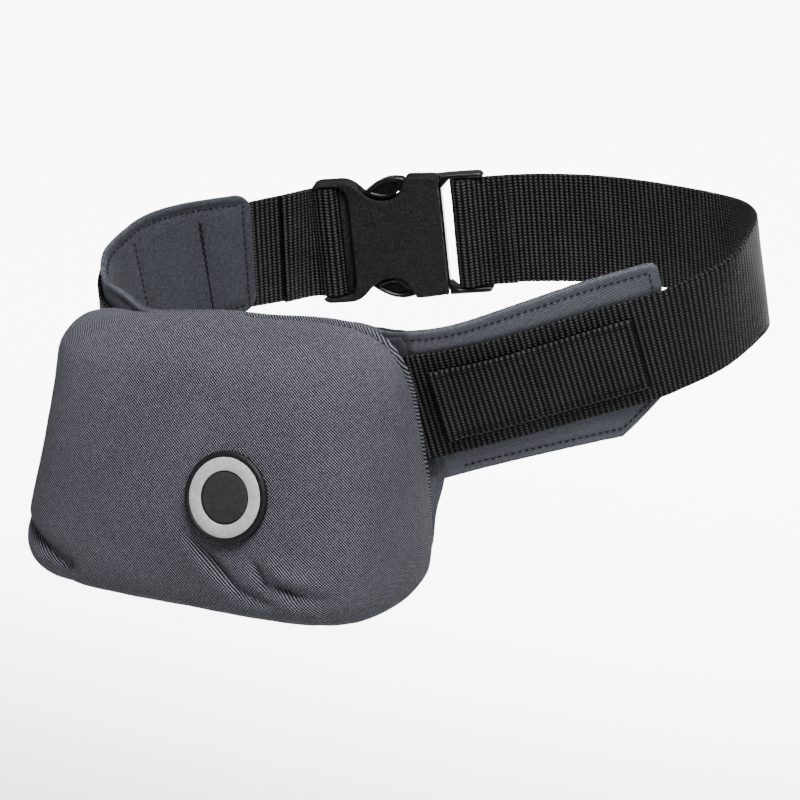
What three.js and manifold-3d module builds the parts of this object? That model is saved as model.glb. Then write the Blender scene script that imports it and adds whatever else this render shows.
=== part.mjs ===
import * as THREE from 'three';
import Module from 'manifold-3d';

const wasm = await Module();
wasm.setup();

// Sizes in mm. The worn loop is measured along the middle of the webbing.
const loopWide = 286;
const loopDeep = 182;
const webWide = 50.8;
const webThick = 1.8;
const fitGap = 0.3;
const layGap = 0.5;
const panelThick = 3;
const panelReach = 191;
const wingMargin = 11.5;
const pouchWide = 178;
const pouchTall = 124;
const pouchRoll = 0.02;
const pouchDroop = 0.085;
const rimDrop = 5.5;
const rimLift = 3.8;
const pouchDeep = 55;
const coverThick = 1.8;
const patchLong = 89;
const patchWide = 35;
const patchThick = 1.6;
const bindingWide = 8;
const bindingThick = 0.8;
const badgeWide = 40;
const badgeThick = 1.6;
const buckleThick = 12;
const barRound = 6;
const railThick = 2.8;

// Shape of the worn loop: across is a share of loopWide, along and up are shares of loopDeep,
// lean is how far the top edge tips outwards, in degrees.
const pathRows = [
  { at: 'pouchMid', across: -0.168, along: -0.5, up: -0.107, lean: 2 },
  { at: 'pouchRight', across: 0.063, along: -0.456, up: -0.102, lean: 9 },
  { at: 'wingStart', across: 0.175, along: -0.387, up: -0.06, lean: 16 },
  { at: 'wingHalf', across: 0.332, along: -0.242, up: 0.022, lean: 14 },
  { at: 'wingEnd', across: 0.434, along: -0.126, up: 0.08, lean: 12 },
  { at: 'bendIn', across: 0.485, along: 0.016, up: 0.129, lean: 6 },
  { at: 'bend', across: 0.482, along: 0.165, up: 0.166, lean: -5 },
  { at: 'bendOut', across: 0.428, along: 0.33, up: 0.16, lean: -8 },
  { at: 'farRight', across: 0.339, along: 0.458, up: 0.14, lean: -7 },
  { at: 'far', across: 0.203, along: 0.5, up: 0.135, lean: -7 },
  { at: 'farMid', across: 0.06, along: 0.494, up: 0.123, lean: -1 },
  { at: 'buckleRight', across: -0.056, along: 0.451, up: 0.106, lean: 1 },
  { at: 'buckleLeft', across: -0.344, along: 0.25, up: 0.054, lean: 1 },
  { at: 'leftWeb', across: -0.371, along: 0.163, up: 0.051, lean: 0 },
  { at: 'leftWing', across: -0.418, along: 0.044, up: 0.041, lean: -4 },
  { at: 'leftHalf', across: -0.466, along: -0.066, up: 0.019, lean: -4 },
  { at: 'leftStart', across: -0.502, along: -0.198, up: -0.014, lean: -3 },
  { at: 'leftBend', across: -0.51, along: -0.291, up: -0.047, lean: -2 },
  { at: 'leftTurn', across: -0.487, along: -0.374, up: -0.092, lean: 0 },
  { at: 'pouchLeft', across: -0.402, along: -0.454, up: -0.142, lean: 2 },
];

// Sections of the cover, from its sewn rim to the middle of its face. level is a share of the
// depth, the four halves are shares of pouchWide, top and low are shares of pouchTall.
const coverColumns = ['level', 'leftTop', 'leftLow', 'rightTop', 'rightLow', 'top', 'low', 'square'];
const coverRows = [
  [0, 0.435, 0.465, 0.435, 0.46, 0, 0.93, 7],
  [0.12, 0.45, 0.485, 0.44, 0.485, -0.01, 0.95, 7],
  [0.35, 0.465, 0.51, 0.43, 0.495, 0.005, 0.975, 7],
  [0.6, 0.475, 0.52, 0.4, 0.48, 0.05, 0.985, 6.5],
  [0.8, 0.47, 0.515, 0.335, 0.44, 0.1, 0.97, 5.6],
  [0.93, 0.425, 0.47, 0.26, 0.36, 0.15, 0.94, 4.6],
  [0.985, 0.385, 0.43, 0.18, 0.28, 0.25, 0.87, 3.6],
  [1.01, 0.27, 0.3, 0.11, 0.17, 0.38, 0.75, 2.4],
  [1.02, 0, 0, 0, 0, 0.57, 0.57, 2],
].map((row) => Object.fromEntries(row.map((value, k) => [coverColumns[k], value])));

// Folds pressed into the cover: ends as shares of pouchWide across and pouchTall down,
// deep and wide as shares of pouchDeep.
const foldRows = [
  { at: 'leftPleat', across: -0.47, down: 0.86, toAcross: -0.37, toDown: 0.97, deep: 0.1, wide: 0.1 },
  { at: 'longCrease', across: -0.08, down: 0.72, toAcross: 0.13, toDown: 0.95, deep: 0.05, wide: 0.1 },
  { at: 'rightPleat', across: 0.22, down: 0.86, toAcross: 0.33, toDown: 0.93, deep: 0.08, wide: 0.1 },
];

const webHalf = webWide / 2;
const webFace = webThick / 2;
const rad = Math.PI / 180;

const clamp = (v, lo, hi) => Math.min(hi, Math.max(lo, v));
const lerp = (a, b, f) => a + (b - a) * f;
const smooth = (f) => {
  const c = clamp(f, 0, 1);
  return c * c * (3 - 2 * c);
};
const vec = (x, y, z) => new THREE.Vector3(x, y, z);
const upward = vec(0, 0, 1);

// The loop as one smooth closed run through the rows, straight through the buckle.
function makePath() {
  const knots = [];
  pathRows.forEach((row, k) => {
    const spot = (r) => ({
      at: r.at,
      p: vec(r.across * loopWide, r.along * loopDeep, r.up * loopDeep),
      lean: r.lean,
    });
    const here = spot(row);
    knots.push(here);
    if (row.at === 'buckleRight') {
      const there = spot(pathRows[k + 1]);
      for (const f of [0.12, 0.93]) {
        const p = here.p.clone().lerp(there.p, f);
        knots.push({ at: 'straight', p, lean: lerp(here.lean, there.lean, f) });
      }
    }
  });
  const n = knots.length;
  const far = (k) => knots[(k + n) % n];
  const gap = (k) => far(k + 1).p.distanceTo(far(k).p);
  knots.forEach((knot, k) => {
    const before = gap(k - 1);
    const after = gap(k);
    const into = knot.p.clone().sub(far(k - 1).p).multiplyScalar(after / before);
    const out = far(k + 1).p.clone().sub(knot.p).multiplyScalar(before / after);
    knot.t = into.add(out).multiplyScalar(1 / (before + after));
    const leanIn = (knot.lean - far(k - 1).lean) * after / before;
    const leanOut = (far(k + 1).lean - knot.lean) * before / after;
    knot.leanT = (leanIn + leanOut) / (before + after);
  });
  const fine = [];
  const steps = 24;
  knots.forEach((a, k) => {
    const b = far(k + 1);
    const h = gap(k);
    for (let i = 0; i < steps; i++) {
      const f = i / steps;
      const f2 = f * f;
      const f3 = f2 * f;
      const p = a.p.clone().multiplyScalar(2 * f3 - 3 * f2 + 1);
      p.addScaledVector(b.p, 3 * f2 - 2 * f3);
      p.addScaledVector(a.t, (f3 - 2 * f2 + f) * h);
      p.addScaledVector(b.t, (f3 - f2) * h);
      const lean = (2 * f3 - 3 * f2 + 1) * a.lean + (3 * f2 - 2 * f3) * b.lean
        + (f3 - 2 * f2 + f) * h * a.leanT + (f3 - f2) * h * b.leanT;
      fine.push({ p, lean, at: i === 0 ? a.at : '' });
    }
  });
  const m = fine.length;
  let run = 0;
  fine.forEach((q, i) => {
    q.s = run;
    run += fine[(i + 1) % m].p.distanceTo(q.p);
    q.d = fine[(i + 1) % m].p.clone().sub(fine[(i + m - 1) % m].p).normalize();
  });
  return { fine, total: run };
}

const path = makePath();
const sOf = (name) => path.fine.find((q) => q.at === name).s;

// Frame of the belt at s: p on the webbing's middle, d along, w up the band, n outwards.
function frameAt(s) {
  const { fine, total } = path;
  const run = ((s % total) + total) % total;
  let lo = 0;
  let hi = fine.length;
  while (hi - lo > 1) {
    const mid = (lo + hi) >> 1;
    if (fine[mid].s <= run) lo = mid;
    else hi = mid;
  }
  const a = fine[lo];
  const b = fine[(lo + 1) % fine.length];
  const end = lo + 1 === fine.length ? total : b.s;
  const f = (run - a.s) / (end - a.s);
  const p = a.p.clone().lerp(b.p, f);
  const d = a.d.clone().lerp(b.d, f).normalize();
  const lean = lerp(a.lean, b.lean, f) * rad;
  const up = upward.clone().addScaledVector(d, -d.z).normalize();
  const out = d.clone().cross(up);
  const w = up.clone().multiplyScalar(Math.cos(lean)).addScaledVector(out, Math.sin(lean));
  const n = d.clone().cross(w);
  return { p, d, w, n };
}

// A point by belt coordinates: s along, t up the band, o outwards. Below the webbing the band
// turns gently to hang straight down.
const hangSpan = 18;
function wrap(s, t, o) {
  const f = frameAt(s);
  const below = Math.max(0, -webHalf - t);
  const turn = clamp(below / hangSpan, 0, 1);
  const drop = below < hangSpan ? below * below / (2 * hangSpan) : below - hangSpan / 2;
  const n = f.n.clone();
  if (below > 0) {
    const flat = f.d.clone().cross(upward).normalize();
    n.lerp(flat, turn).normalize();
  }
  const down = f.w.clone().sub(upward).multiplyScalar(drop);
  return f.p.clone().addScaledVector(f.w, t).add(down).addScaledVector(n, o);
}

// The s and t on the band whose point has this x and z.
function onBand(x, z, o) {
  const mid = path.fine[0].p;
  let s = x - mid.x;
  let t = z - mid.z;
  for (let i = 0; i < 14; i++) {
    const p = wrap(s, t, o);
    const d = frameAt(s).d;
    const dz = z - p.z;
    s += (x - p.x) / Math.max(0.5, d.x) * 0.9;
    t += dz * 0.9;
  }
  return { s, t };
}

// Meshes.
const paint = (hex, rough) => new THREE.MeshStandardMaterial({ color: hex, roughness: rough });
const slate = paint(0x565862, 0.9);
const slateDark = paint(0x3f434c, 0.9);
const blackWeb = paint(0x17181a, 0.85);
const blackPlastic = paint(0x1b1c1e, 0.45);
const light = paint(0xd8d8d8, 0.6);

const group = new THREE.Group();
group.name = 'belt_pack';

function addMesh(name, points, tris, material) {
  let volume = 0;
  for (const [a, b, c] of tris) {
    volume += points[a].dot(points[b].clone().cross(points[c]));
  }
  const data = new Float32Array(points.length * 3);
  points.forEach((p, i) => p.toArray(data, i * 3));
  const geometry = new THREE.BufferGeometry();
  geometry.setAttribute('position', new THREE.BufferAttribute(data, 3));
  geometry.setIndex(tris.flatMap(([a, b, c]) => (volume > 0 ? [a, b, c] : [a, c, b])));
  geometry.computeVertexNormals();
  const mesh = new THREE.Mesh(geometry, material);
  mesh.name = name;
  group.add(mesh);
  return mesh;
}

// A sheet between two grids of points, closed along its four edges.
function sheetSolid(name, cols, rows, front, back, material) {
  const points = [];
  const id = [[], []];
  [front, back].forEach((at, side) => {
    for (let i = 0; i < cols; i++) {
      id[side].push([]);
      for (let j = 0; j < rows; j++) {
        id[side][i].push(points.length);
        points.push(at(i, j));
      }
    }
  });
  const tris = [];
  const quad = (a, b, c, d) => tris.push([a, b, c], [a, c, d]);
  for (let i = 0; i + 1 < cols; i++) {
    for (let j = 0; j + 1 < rows; j++) {
      quad(id[0][i][j], id[0][i + 1][j], id[0][i + 1][j + 1], id[0][i][j + 1]);
      quad(id[1][i][j], id[1][i][j + 1], id[1][i + 1][j + 1], id[1][i + 1][j]);
    }
    quad(id[1][i][0], id[1][i + 1][0], id[0][i + 1][0], id[0][i][0]);
    quad(id[0][i][rows - 1], id[0][i + 1][rows - 1], id[1][i + 1][rows - 1], id[1][i][rows - 1]);
  }
  for (let j = 0; j + 1 < rows; j++) {
    quad(id[0][0][j], id[0][0][j + 1], id[1][0][j + 1], id[1][0][j]);
    quad(id[1][cols - 1][j], id[1][cols - 1][j + 1], id[0][cols - 1][j + 1], id[0][cols - 1][j]);
  }
  return addMesh(name, points, tris, material);
}

// A solid between two stacks of closed rings that share their first edge, each ending in a pole.
function domeSolid(name, around, outer, inner, material) {
  const points = [];
  const tris = [];
  const sides = [outer, inner].map((stack, side) => {
    const rings = stack.rings.map((ring) => ring.map((p) => points.push(p) - 1));
    const pole = points.push(stack.pole) - 1;
    const face = (a, b, c) => tris.push(side === 0 ? [a, b, c] : [a, c, b]);
    for (let r = 0; r + 1 < rings.length; r++) {
      for (let i = 0; i < around; i++) {
        const k = (i + 1) % around;
        face(rings[r][i], rings[r][k], rings[r + 1][k]);
        face(rings[r][i], rings[r + 1][k], rings[r + 1][i]);
      }
    }
    const last = rings[rings.length - 1];
    for (let i = 0; i < around; i++) face(last[i], last[(i + 1) % around], pole);
    return rings[0];
  });
  for (let i = 0; i < around; i++) {
    const k = (i + 1) % around;
    tris.push([sides[1][i], sides[1][k], sides[0][k]], [sides[1][i], sides[0][k], sides[0][i]]);
  }
  return addMesh(name, points, tris, material);
}

// A closed ring of a closed profile.
function hoopSolid(name, around, profile, at, material) {
  const points = [];
  const tris = [];
  for (let i = 0; i < around; i++) for (const q of profile) points.push(at(i, q));
  const n = profile.length;
  for (let i = 0; i < around; i++) {
    const k = (i + 1) % around;
    for (let j = 0; j < n; j++) {
      const m = (j + 1) % n;
      tris.push([i * n + j, k * n + j, k * n + m], [i * n + j, k * n + m, i * n + m]);
    }
  }
  return addMesh(name, points, tris, material);
}

const spread = (from, to, step) => {
  const count = Math.max(1, Math.round(Math.abs(to - from) / step));
  return Array.from({ length: count + 1 }, (_, i) => lerp(from, to, i / count));
};

// The cover, in u across and z up, measured from the middle of the pouch.
const middle = path.fine[0].p;
const pouchTopZ = middle.z + webHalf + wingMargin;

// How far down its side a ring has widened, and how square its top left and low right corners are.
const sideShare = (f, u) => clamp(f, 0, 1) ** (u > 0 ? 0.6 : 1.6);
const shoulder = (c, s) =>
  1 + 1.8 * smooth(s * 2) * smooth(-c * 2) + 0.5 * smooth(-s * 2) * smooth(c * 2);

// The top sags to the left, and the bottom hangs a little lower there.
// The cover's top line: it droops on the left, and next to the panel it is tilted further.
function droopAt(u, level) {
  const share = u / pouchWide;
  const lift = rimLift * smooth(share / 0.28) * (1 - 0.7 * smooth((share - 0.33) / 0.12));
  const tilt = u > 0 ? lift : -rimDrop * Math.min(1, -share / 0.36);
  return pouchDroop * Math.min(0, u) + tilt * (1 - smooth(level / 0.7));
}

const tallAt = (u, level) => pouchTall - pouchRoll * u + droopAt(u, level);
const downOf = (u, z, level) => (pouchTopZ + droopAt(u, level) - z) / tallAt(u, level);

function coverRow(v) {
  const last = coverRows.length - 1;
  const k = Math.min(last - 1, Math.floor(v));
  const f = v - k;
  const row = (i) => coverRows[clamp(i, 0, last)];
  const out = {};
  for (const key of Object.keys(coverRows[0])) {
    const [a, b, c, d] = [k - 1, k, k + 1, k + 2].map((i) => row(i)[key]);
    out[key] = b + 0.5 * f * (c - a + f * (2 * a - 5 * b + 4 * c - d + f * (3 * (b - c) + d - a)));
  }
  return out;
}

function coverRing(v, turn) {
  const r = coverRow(v);
  const c = Math.cos(turn);
  const s = Math.sin(turn);
  const n = r.square * shoulder(c, s);
  const reach = (Math.abs(c) ** n + Math.abs(s) ** n) ** (-1 / n);
  const mid = (r.top + r.low) / 2;
  const half = (r.low - r.top) / 2;
  const down = mid - half * s * reach;
  const f = half > 0 ? sideShare((down - r.top) / (2 * half), c) : 0;
  const side = c > 0 ? lerp(r.rightTop, r.rightLow, f) : lerp(r.leftTop, r.leftLow, f);
  const u = side * c * reach * pouchWide;
  return { u, z: pouchTopZ + droopAt(u, r.level) - down * tallAt(u, r.level), level: r.level };
}

const seatPast = 1.4;

// Room under the cover: over the webbing it rides higher than on the panel.
function coverSeat(t) {
  const over = 1 - clamp((Math.abs(t) - webHalf - seatPast) / 4, 0, 1);
  return lerp(-webFace, webFace + layGap, over);
}

function faceDepth(z) {
  return pouchDeep * (0.47 + 0.6 * (pouchTopZ - z) / pouchTall);
}

function foldDepth(u, z) {
  let sink = 0;
  for (const f of foldRows) {
    const x0 = f.across * pouchWide;
    const z0 = pouchTopZ - f.down * pouchTall;
    const dx = f.toAcross * pouchWide - x0;
    const dz = pouchTopZ - f.toDown * pouchTall - z0;
    const k = clamp(((u - x0) * dx + (z - z0) * dz) / (dx * dx + dz * dz), 0, 1);
    const off = Math.hypot(u - x0 - dx * k, z - z0 - dz * k) / (f.wide * pouchDeep);
    sink += f.deep * pouchDeep * Math.exp(-off * off);
  }
  return sink;
}

function seatPoint(u, z, extra) {
  const x = middle.x + u;
  const { s, t } = onBand(x, z, 0);
  return wrap(s, t, coverSeat(t) + extra);
}

function coverPoint(v, turn) {
  const q = coverRing(v, turn);
  const p = seatPoint(q.u, q.z, 0);
  const deep = Math.max(0, q.level);
  p.y = lerp(p.y, middle.y - faceDepth(q.z), deep) + smooth((deep - 0.45) / 0.4) * foldDepth(q.u, q.z);
  return p;
}

// The point offset inwards from the cover's outer skin.
function coverInside(v, turn, inset) {
  const here = coverPoint(v, turn);
  const dv = 0.04;
  const da = 0.02;
  const a = coverPoint(v - dv < 0 ? 0 : v - dv, turn);
  const b = coverPoint(v + dv, turn);
  const c = coverPoint(v, turn - da);
  const d = coverPoint(v, turn + da);
  const normal = b.sub(a).cross(d.sub(c)).normalize();
  const p = here.clone().addScaledVector(normal, inset);
  const floor = seatPoint(p.x - middle.x, p.z, 0);
  if (p.y > floor.y) p.y = floor.y;
  return p;
}

// Where round the rim the webbing passes, so the rim steps over it cleanly.
function rimTurns() {
  const turns = spread(0, 2 * Math.PI, 2 * Math.PI / 60).slice(0, -1);
  const heightAt = (turn) => {
    const q = coverRing(0, turn);
    return onBand(middle.x + q.u, q.z, 0).t;
  };
  for (const side of [0, 1]) {
    for (const edge of [seatPast, seatPast + 4].flatMap((e) => [webHalf + e, -webHalf - e])) {
      let lo = side === 0 ? -Math.PI / 2 : Math.PI / 2;
      let hi = side === 0 ? Math.PI / 2 : 1.5 * Math.PI;
      for (let i = 0; i < 30; i++) {
        const m = (lo + hi) / 2;
        if ((heightAt(m) < edge) === (side === 0)) lo = m;
        else hi = m;
      }
      turns.push((lo + 2 * Math.PI) % (2 * Math.PI));
    }
  }
  turns.sort((a, b) => a - b);
  return turns.filter((a, i) => i === 0 || a - turns[i - 1] > 0.012);
}

const turns = rimTurns();
const coverLevels = [0, 0.5, 1, 1.6, 2.3, 3, 3.7, 4.4, 5.2, 6, 7];
domeSolid(
  'pouch_cover',
  turns.length,
  { rings: coverLevels.map((v) => turns.map((a) => coverPoint(v, a))), pole: coverPoint(8, 0) },
  {
    rings: coverLevels.map((v) => turns.map((a) => coverInside(v, a, coverThick))),
    pole: coverPoint(8, 0).add(vec(0, coverThick, 0)),
  },
  slate,
);

// The packed bladder: the room inside the cover, less a small gap.
const coreLevels = [0.6, 1.4, 2.3, 3.2, 4.2, 5.2, 6.2];
const coreTurns = spread(0, 2 * Math.PI, 2 * Math.PI / 36).slice(0, -1);
const coreSkin = coreLevels.map((v) => coreTurns.map((a) => coverInside(v, a, coverThick + 3)));
const corePoint = (f, i) => {
  const rim = coreSkin[0][i];
  const u = (rim.x - middle.x) * f;
  const hub = pouchTopZ - 0.5 * pouchTall;
  const z = lerp(hub, rim.z, f);
  const p = seatPoint(u, z, 0);
  const flat = onBand(middle.x + u, z, 0);
  p.y -= webFace + fitGap - coverSeat(flat.t) + 1.6;
  return p;
};
domeSolid(
  'folded_bladder',
  coreTurns.length,
  { rings: coreSkin, pole: coverPoint(8, 0).add(vec(0, coverThick + 3, 0)) },
  {
    rings: [0.95, 0.75, 0.5, 0.25].map((f) => coreTurns.map((_, i) => corePoint(f, i))),
    pole: corePoint(0, 0),
  },
  slateDark,
);

// Back panel. Its outline: wings either side, and behind the pouch down to the cover's rim.
const panelFace = -webFace - layGap;
const rightSlant = 12 / 63;
const leftReach = panelReach * 1.026;
const cornerDrop = (dist, r) => (dist >= r ? 0 : r - Math.sqrt(r * r - (r - dist) ** 2));
const bindingAt = pouchWide * 0.44;

function panelTop(s) {
  const margin = s > 0
    ? wingMargin * (1 + 0.2 * smooth((s / panelReach - 0.5) * 2))
    : wingMargin * (1 - 0.5 * smooth((-s / leftReach - 0.72) / 0.3));
  const drop = s > 0 ? cornerDrop(panelReach - s, 4.5) : cornerDrop(leftReach + s, 8);
  const lift = rimLift * smooth(s / (pouchWide * 0.28)) * (1 - smooth((s - pouchWide * 0.33) / 24));
  const hollow = (at, wide, deep) => deep * Math.exp(-(((s - pouchWide * at) / wide) ** 2));
  const dip = hollow(-0.66, 22, 3.5) + hollow(0.56, 20, 1.6);
  return webHalf + margin + lift - dip - drop;
}

function insideRim(s, t) {
  // the wing's end curls back behind the pouch without being part of it
  if (Math.abs(s) > pouchWide * 0.72) return false;
  const p = wrap(s, t, 0);
  const u = p.x - middle.x;
  const down = downOf(u, p.z, 0);
  const r = coverRows[0];
  const mid = (r.top + r.low) / 2;
  const half = (r.low - r.top) / 2 + 0.008;
  const f = sideShare((down - r.top) / (2 * half), u);
  const flare = 0.03 * smooth((0.74 - down) / 0.25) + 0.008;
  const side = (u > 0 ? lerp(r.rightTop, r.rightLow, f) : lerp(r.leftTop, r.leftLow, f)) + flare;
  const a = Math.abs(u / (side * pouchWide)) ** r.square;
  const b = Math.abs((down - mid) / half) ** r.square;
  return a + b < 1;
}

function panelLow(s) {
  let wing;
  if (s > 0) {
    const chamfer = clamp((s - panelReach * 0.87) / (panelReach * 0.13), 0, 1);
    const margin = wingMargin * (1 + 0.25 * smooth((s / panelReach - 0.5) * 2));
    wing = -webHalf - margin * (1 - chamfer) - 0.4;
  } else {
    const taper = 1 - 0.95 * smooth((-s / leftReach - 0.5) * 2);
    wing = -webHalf - wingMargin * taper + cornerDrop(leftReach + s, 8);
  }
  if (!insideRim(s, wing)) return wing;
  let hi = wing;
  let lo = -webHalf - pouchTall;
  for (let i = 0; i < 26; i++) {
    const m = (lo + hi) / 2;
    if (insideRim(s, m)) hi = m;
    else lo = m;
  }
  return hi;
}

function panelStations() {
  const edge = pouchWide * 0.53;
  const list = [];
  const end = [0, 0.7, 2.2, 4.5, 8];
  for (const e of end) list.push(-leftReach + e);
  list.push(...spread(-leftReach + 14, -edge, 6));
  list.push(...spread(-edge + 2, -edge + 22, 2.2));
  list.push(...spread(-edge + 29, edge - 29, 8));
  list.push(...spread(edge - 22, edge - 2, 2.2));
  list.push(...spread(edge, panelReach - 12, 7));
  for (const e of end.slice(0, 4).reverse()) list.push(panelReach - e);
  return list;
}

const stations = panelStations();
const panelRows = 11;
const panelAt = (depth) => (i, j) => {
  const s = stations[i];
  const t = lerp(panelLow(s), panelTop(s), j / (panelRows - 1));
  const shear = s > 0 ? smooth((s / panelReach - 0.75) * 4) * rightSlant * clamp(t, -webHalf, webHalf) : 0;
  const press = Math.max(0, 1 - Math.max(0, Math.abs(s - bindingAt) - bindingWide / 2 - 1) / 3);
  const near = s > 0 ? press * (bindingThick + 0.5) : 0;
  return wrap(s + shear, t, panelFace - Math.max(depth, near));
};
sheetSolid('back_panel', stations.length, panelRows, panelAt(0), panelAt(panelThick), slateDark);

// Binding of the slot, pressed into the panel behind the webbing.
sheetSolid(
  'slot_binding',
  3,
  9,
  (i, j) => {
    const t = lerp(-webHalf - 8, webHalf + 8, j / 8);
    return wrap(bindingAt + (i / 2 - 0.5) * bindingWide, t, panelFace);
  },
  (i, j) => {
    const t = lerp(-webHalf - 8, webHalf + 8, j / 8);
    return wrap(bindingAt + (i / 2 - 0.5) * bindingWide, t, panelFace - bindingThick + 0.2);
  },
  slateDark,
);

// Buckle: p along the belt, q up the band, r outwards, from the middle of the straight run.
const bucklePlace = lerp(sOf('buckleRight'), sOf('buckleLeft'), 0.533);
const railIn = webHalf + 0.4;
const railOut = railIn + railThick;
const barIn = -27.8;
const barOut = 34.5;
const loopRound = barRound / 2 + layGap + webFace;
const foldGap = webThick + fitGap;

// The webbing's run in s and o, from one folded end to the other.
function webRun() {
  const right = bucklePlace + barIn;
  const left = bucklePlace + barOut - path.total;
  const flapRight = 22;
  const flapLeft = 27;
  const ramp = 9;
  const centre = -foldGap / 2;
  const swell = (dist) => centre + foldGap / 2 + (loopRound - foldGap / 2) * smooth(1 - dist / ramp);
  const run = [];
  const fold = (bar, way, flap) => {
    const back = (o) => 2 * centre - o;
    const part = [];
    for (const dist of spread(flap, ramp, 6)) part.push({ s: bar + way * dist, o: back(0) });
    for (const dist of spread(ramp, 0, 3).slice(1)) part.push({ s: bar + way * dist, o: back(swell(dist)) });
    for (const a of spread(0, Math.PI, Math.PI / 9).slice(1, -1)) {
      part.push({ s: bar - way * loopRound * Math.sin(a), o: centre - loopRound * Math.cos(a) });
    }
    for (const dist of spread(0, ramp, 3)) part.push({ s: bar + way * dist, o: swell(dist) });
    return part;
  };
  run.push(...fold(left, 1, flapLeft));
  const stops = [left + ramp, sOf('leftHalf') - path.total, sOf('pouchLeft') - path.total, sOf('bendIn') - 14,
    sOf('farRight'), right - ramp];
  const steps = [7.5, 4.5, 8, 4.5, 8];
  steps.forEach((step, k) => {
    const part = spread(stops[k], stops[k + 1], step).slice(k === 0 ? 1 : 0, -1);
    for (const s of part) run.push({ s, o: 0 });
  });
  run.push(...fold(right, -1, flapRight).reverse());
  return run;
}

const web = webRun();
const webNormals = web.map((q, i) => {
  const a = web[Math.max(0, i - 1)];
  const b = web[Math.min(web.length - 1, i + 1)];
  const long = Math.hypot(b.s - a.s, b.o - a.o);
  return { s: -(b.o - a.o) / long, o: (b.s - a.s) / long };
});
const webAt = (side) => (i, j) => {
  const q = web[i];
  const n = webNormals[i];
  const t = lerp(-webHalf, webHalf, j / 4);
  return wrap(q.s + n.s * webFace * side, t, q.o + n.o * webFace * side);
};
sheetSolid('waist_webbing', web.length, 5, webAt(1), webAt(-1), blackWeb);

// Doubled webbing on the outside of the right-hand webbing, with a raised fold at its start.
const patchFrom = pouchWide * 0.51;
const patchStations = spread(patchFrom, patchFrom + patchLong, 6);
sheetSolid(
  'webbing_patch',
  patchStations.length,
  5,
  (i, j) => {
    const s = patchStations[i];
    const rise = 1.4 * smooth(1 - (s - patchFrom - 3) / 4);
    const seam = 0.7 * Math.max(0, 1 - Math.abs(s - patchFrom - patchLong * 0.48) / 5);
    return wrap(s, lerp(-patchWide / 2, patchWide / 2, j / 4), webFace + layGap + patchThick + rise - seam);
  },
  (i, j) => wrap(patchStations[i], lerp(-patchWide / 2, patchWide / 2, j / 4), webFace + layGap),
  blackWeb,
);

// Solids for the buckle.
function solidFrom(geometry) {
  const points = geometry.getAttribute('position');
  const keys = new Map();
  const verts = [];
  const ids = [];
  for (let i = 0; i < points.count; i++) {
    const xyz = [points.getX(i), points.getY(i), points.getZ(i)];
    const key = xyz.map((v) => Math.round(v * 1e4)).join();
    if (!keys.has(key)) {
      keys.set(key, verts.length / 3);
      verts.push(...xyz);
    }
    ids.push(keys.get(key));
  }
  const order = geometry.index ? Array.from(geometry.index.array, (k) => ids[k]) : ids;
  const mesh = new wasm.Mesh({
    numProp: 3,
    vertProperties: new Float32Array(verts),
    triVerts: new Uint32Array(order),
  });
  return new wasm.Manifold(mesh);
}

function prism(outline, from, to) {
  const shape = new THREE.Shape(outline.map(([p, q]) => new THREE.Vector2(p, q)));
  const geometry = new THREE.ExtrudeGeometry(shape, { depth: to - from, bevelEnabled: false });
  geometry.translate(0, 0, from);
  return solidFrom(geometry);
}

const block = (p0, p1, q0, q1, r0, r1) => prism([[p0, q0], [p1, q0], [p1, q1], [p0, q1]], r0, r1);

// Corners may give a third number, the radius that rounds them.
function rounded(outline) {
  const n = outline.length;
  return outline.flatMap(([p, q, r], i) => {
    if (!r) return [[p, q]];
    const here = new THREE.Vector2(p, q);
    const before = new THREE.Vector2(...outline[(i + n - 1) % n].slice(0, 2));
    const after = new THREE.Vector2(...outline[(i + 1) % n].slice(0, 2));
    const into = before.clone().sub(here);
    const out = after.clone().sub(here);
    const angle = Math.acos(clamp(into.dot(out) / (into.length() * out.length()), -1, 1));
    const cut = Math.min(r / Math.tan(angle / 2), into.length() * 0.48, out.length() * 0.48);
    const from = here.clone().addScaledVector(into.normalize(), cut);
    const to = here.clone().addScaledVector(out.normalize(), cut);
    return [0, 0.25, 0.5, 0.75, 1].map((f) => {
      const a = from.clone().lerp(here, f);
      const b = here.clone().lerp(to, f);
      return a.lerp(b, f).toArray();
    });
  });
}

function bothSides(outline, half) {
  const upper = rounded(outline);
  const lower = upper.map(([p, q]) => [p, -q]).reverse();
  return prism(upper, -half, half).add(prism(lower, -half, half));
}

function bar(p, half, round) {
  const geometry = new THREE.CylinderGeometry(round / 2, round / 2, half * 2, 14);
  geometry.translate(p, 0, 0);
  return solidFrom(geometry);
}

function placeBuckle(name, solid) {
  const f = frameAt(bucklePlace);
  const raw = solid.getMesh();
  const matrix = new THREE.Matrix4().makeBasis(f.d, f.w, f.n);
  const seat = f.p.clone().addScaledVector(f.n, -foldGap / 2);
  const points = [];
  for (let i = 0; i < raw.vertProperties.length; i += raw.numProp) {
    const v = vec(raw.vertProperties[i], raw.vertProperties[i + 1], raw.vertProperties[i + 2]);
    points.push(v.applyMatrix4(matrix).add(seat));
  }
  const tris = [];
  for (let i = 0; i < raw.triVerts.length; i += 3) {
    tris.push([raw.triVerts[i], raw.triVerts[i + 1], raw.triVerts[i + 2]]);
  }
  return addMesh(name, points, tris, blackPlastic);
}

const bodyHalf = buckleThick / 2;
const roomHalf = bodyHalf - 2.4;
const waistHalf = railIn - 8.4;
const roomTall = railIn - 2.2;
const mouth = -17.7;

const railEnd = barOut + 6.1;

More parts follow.
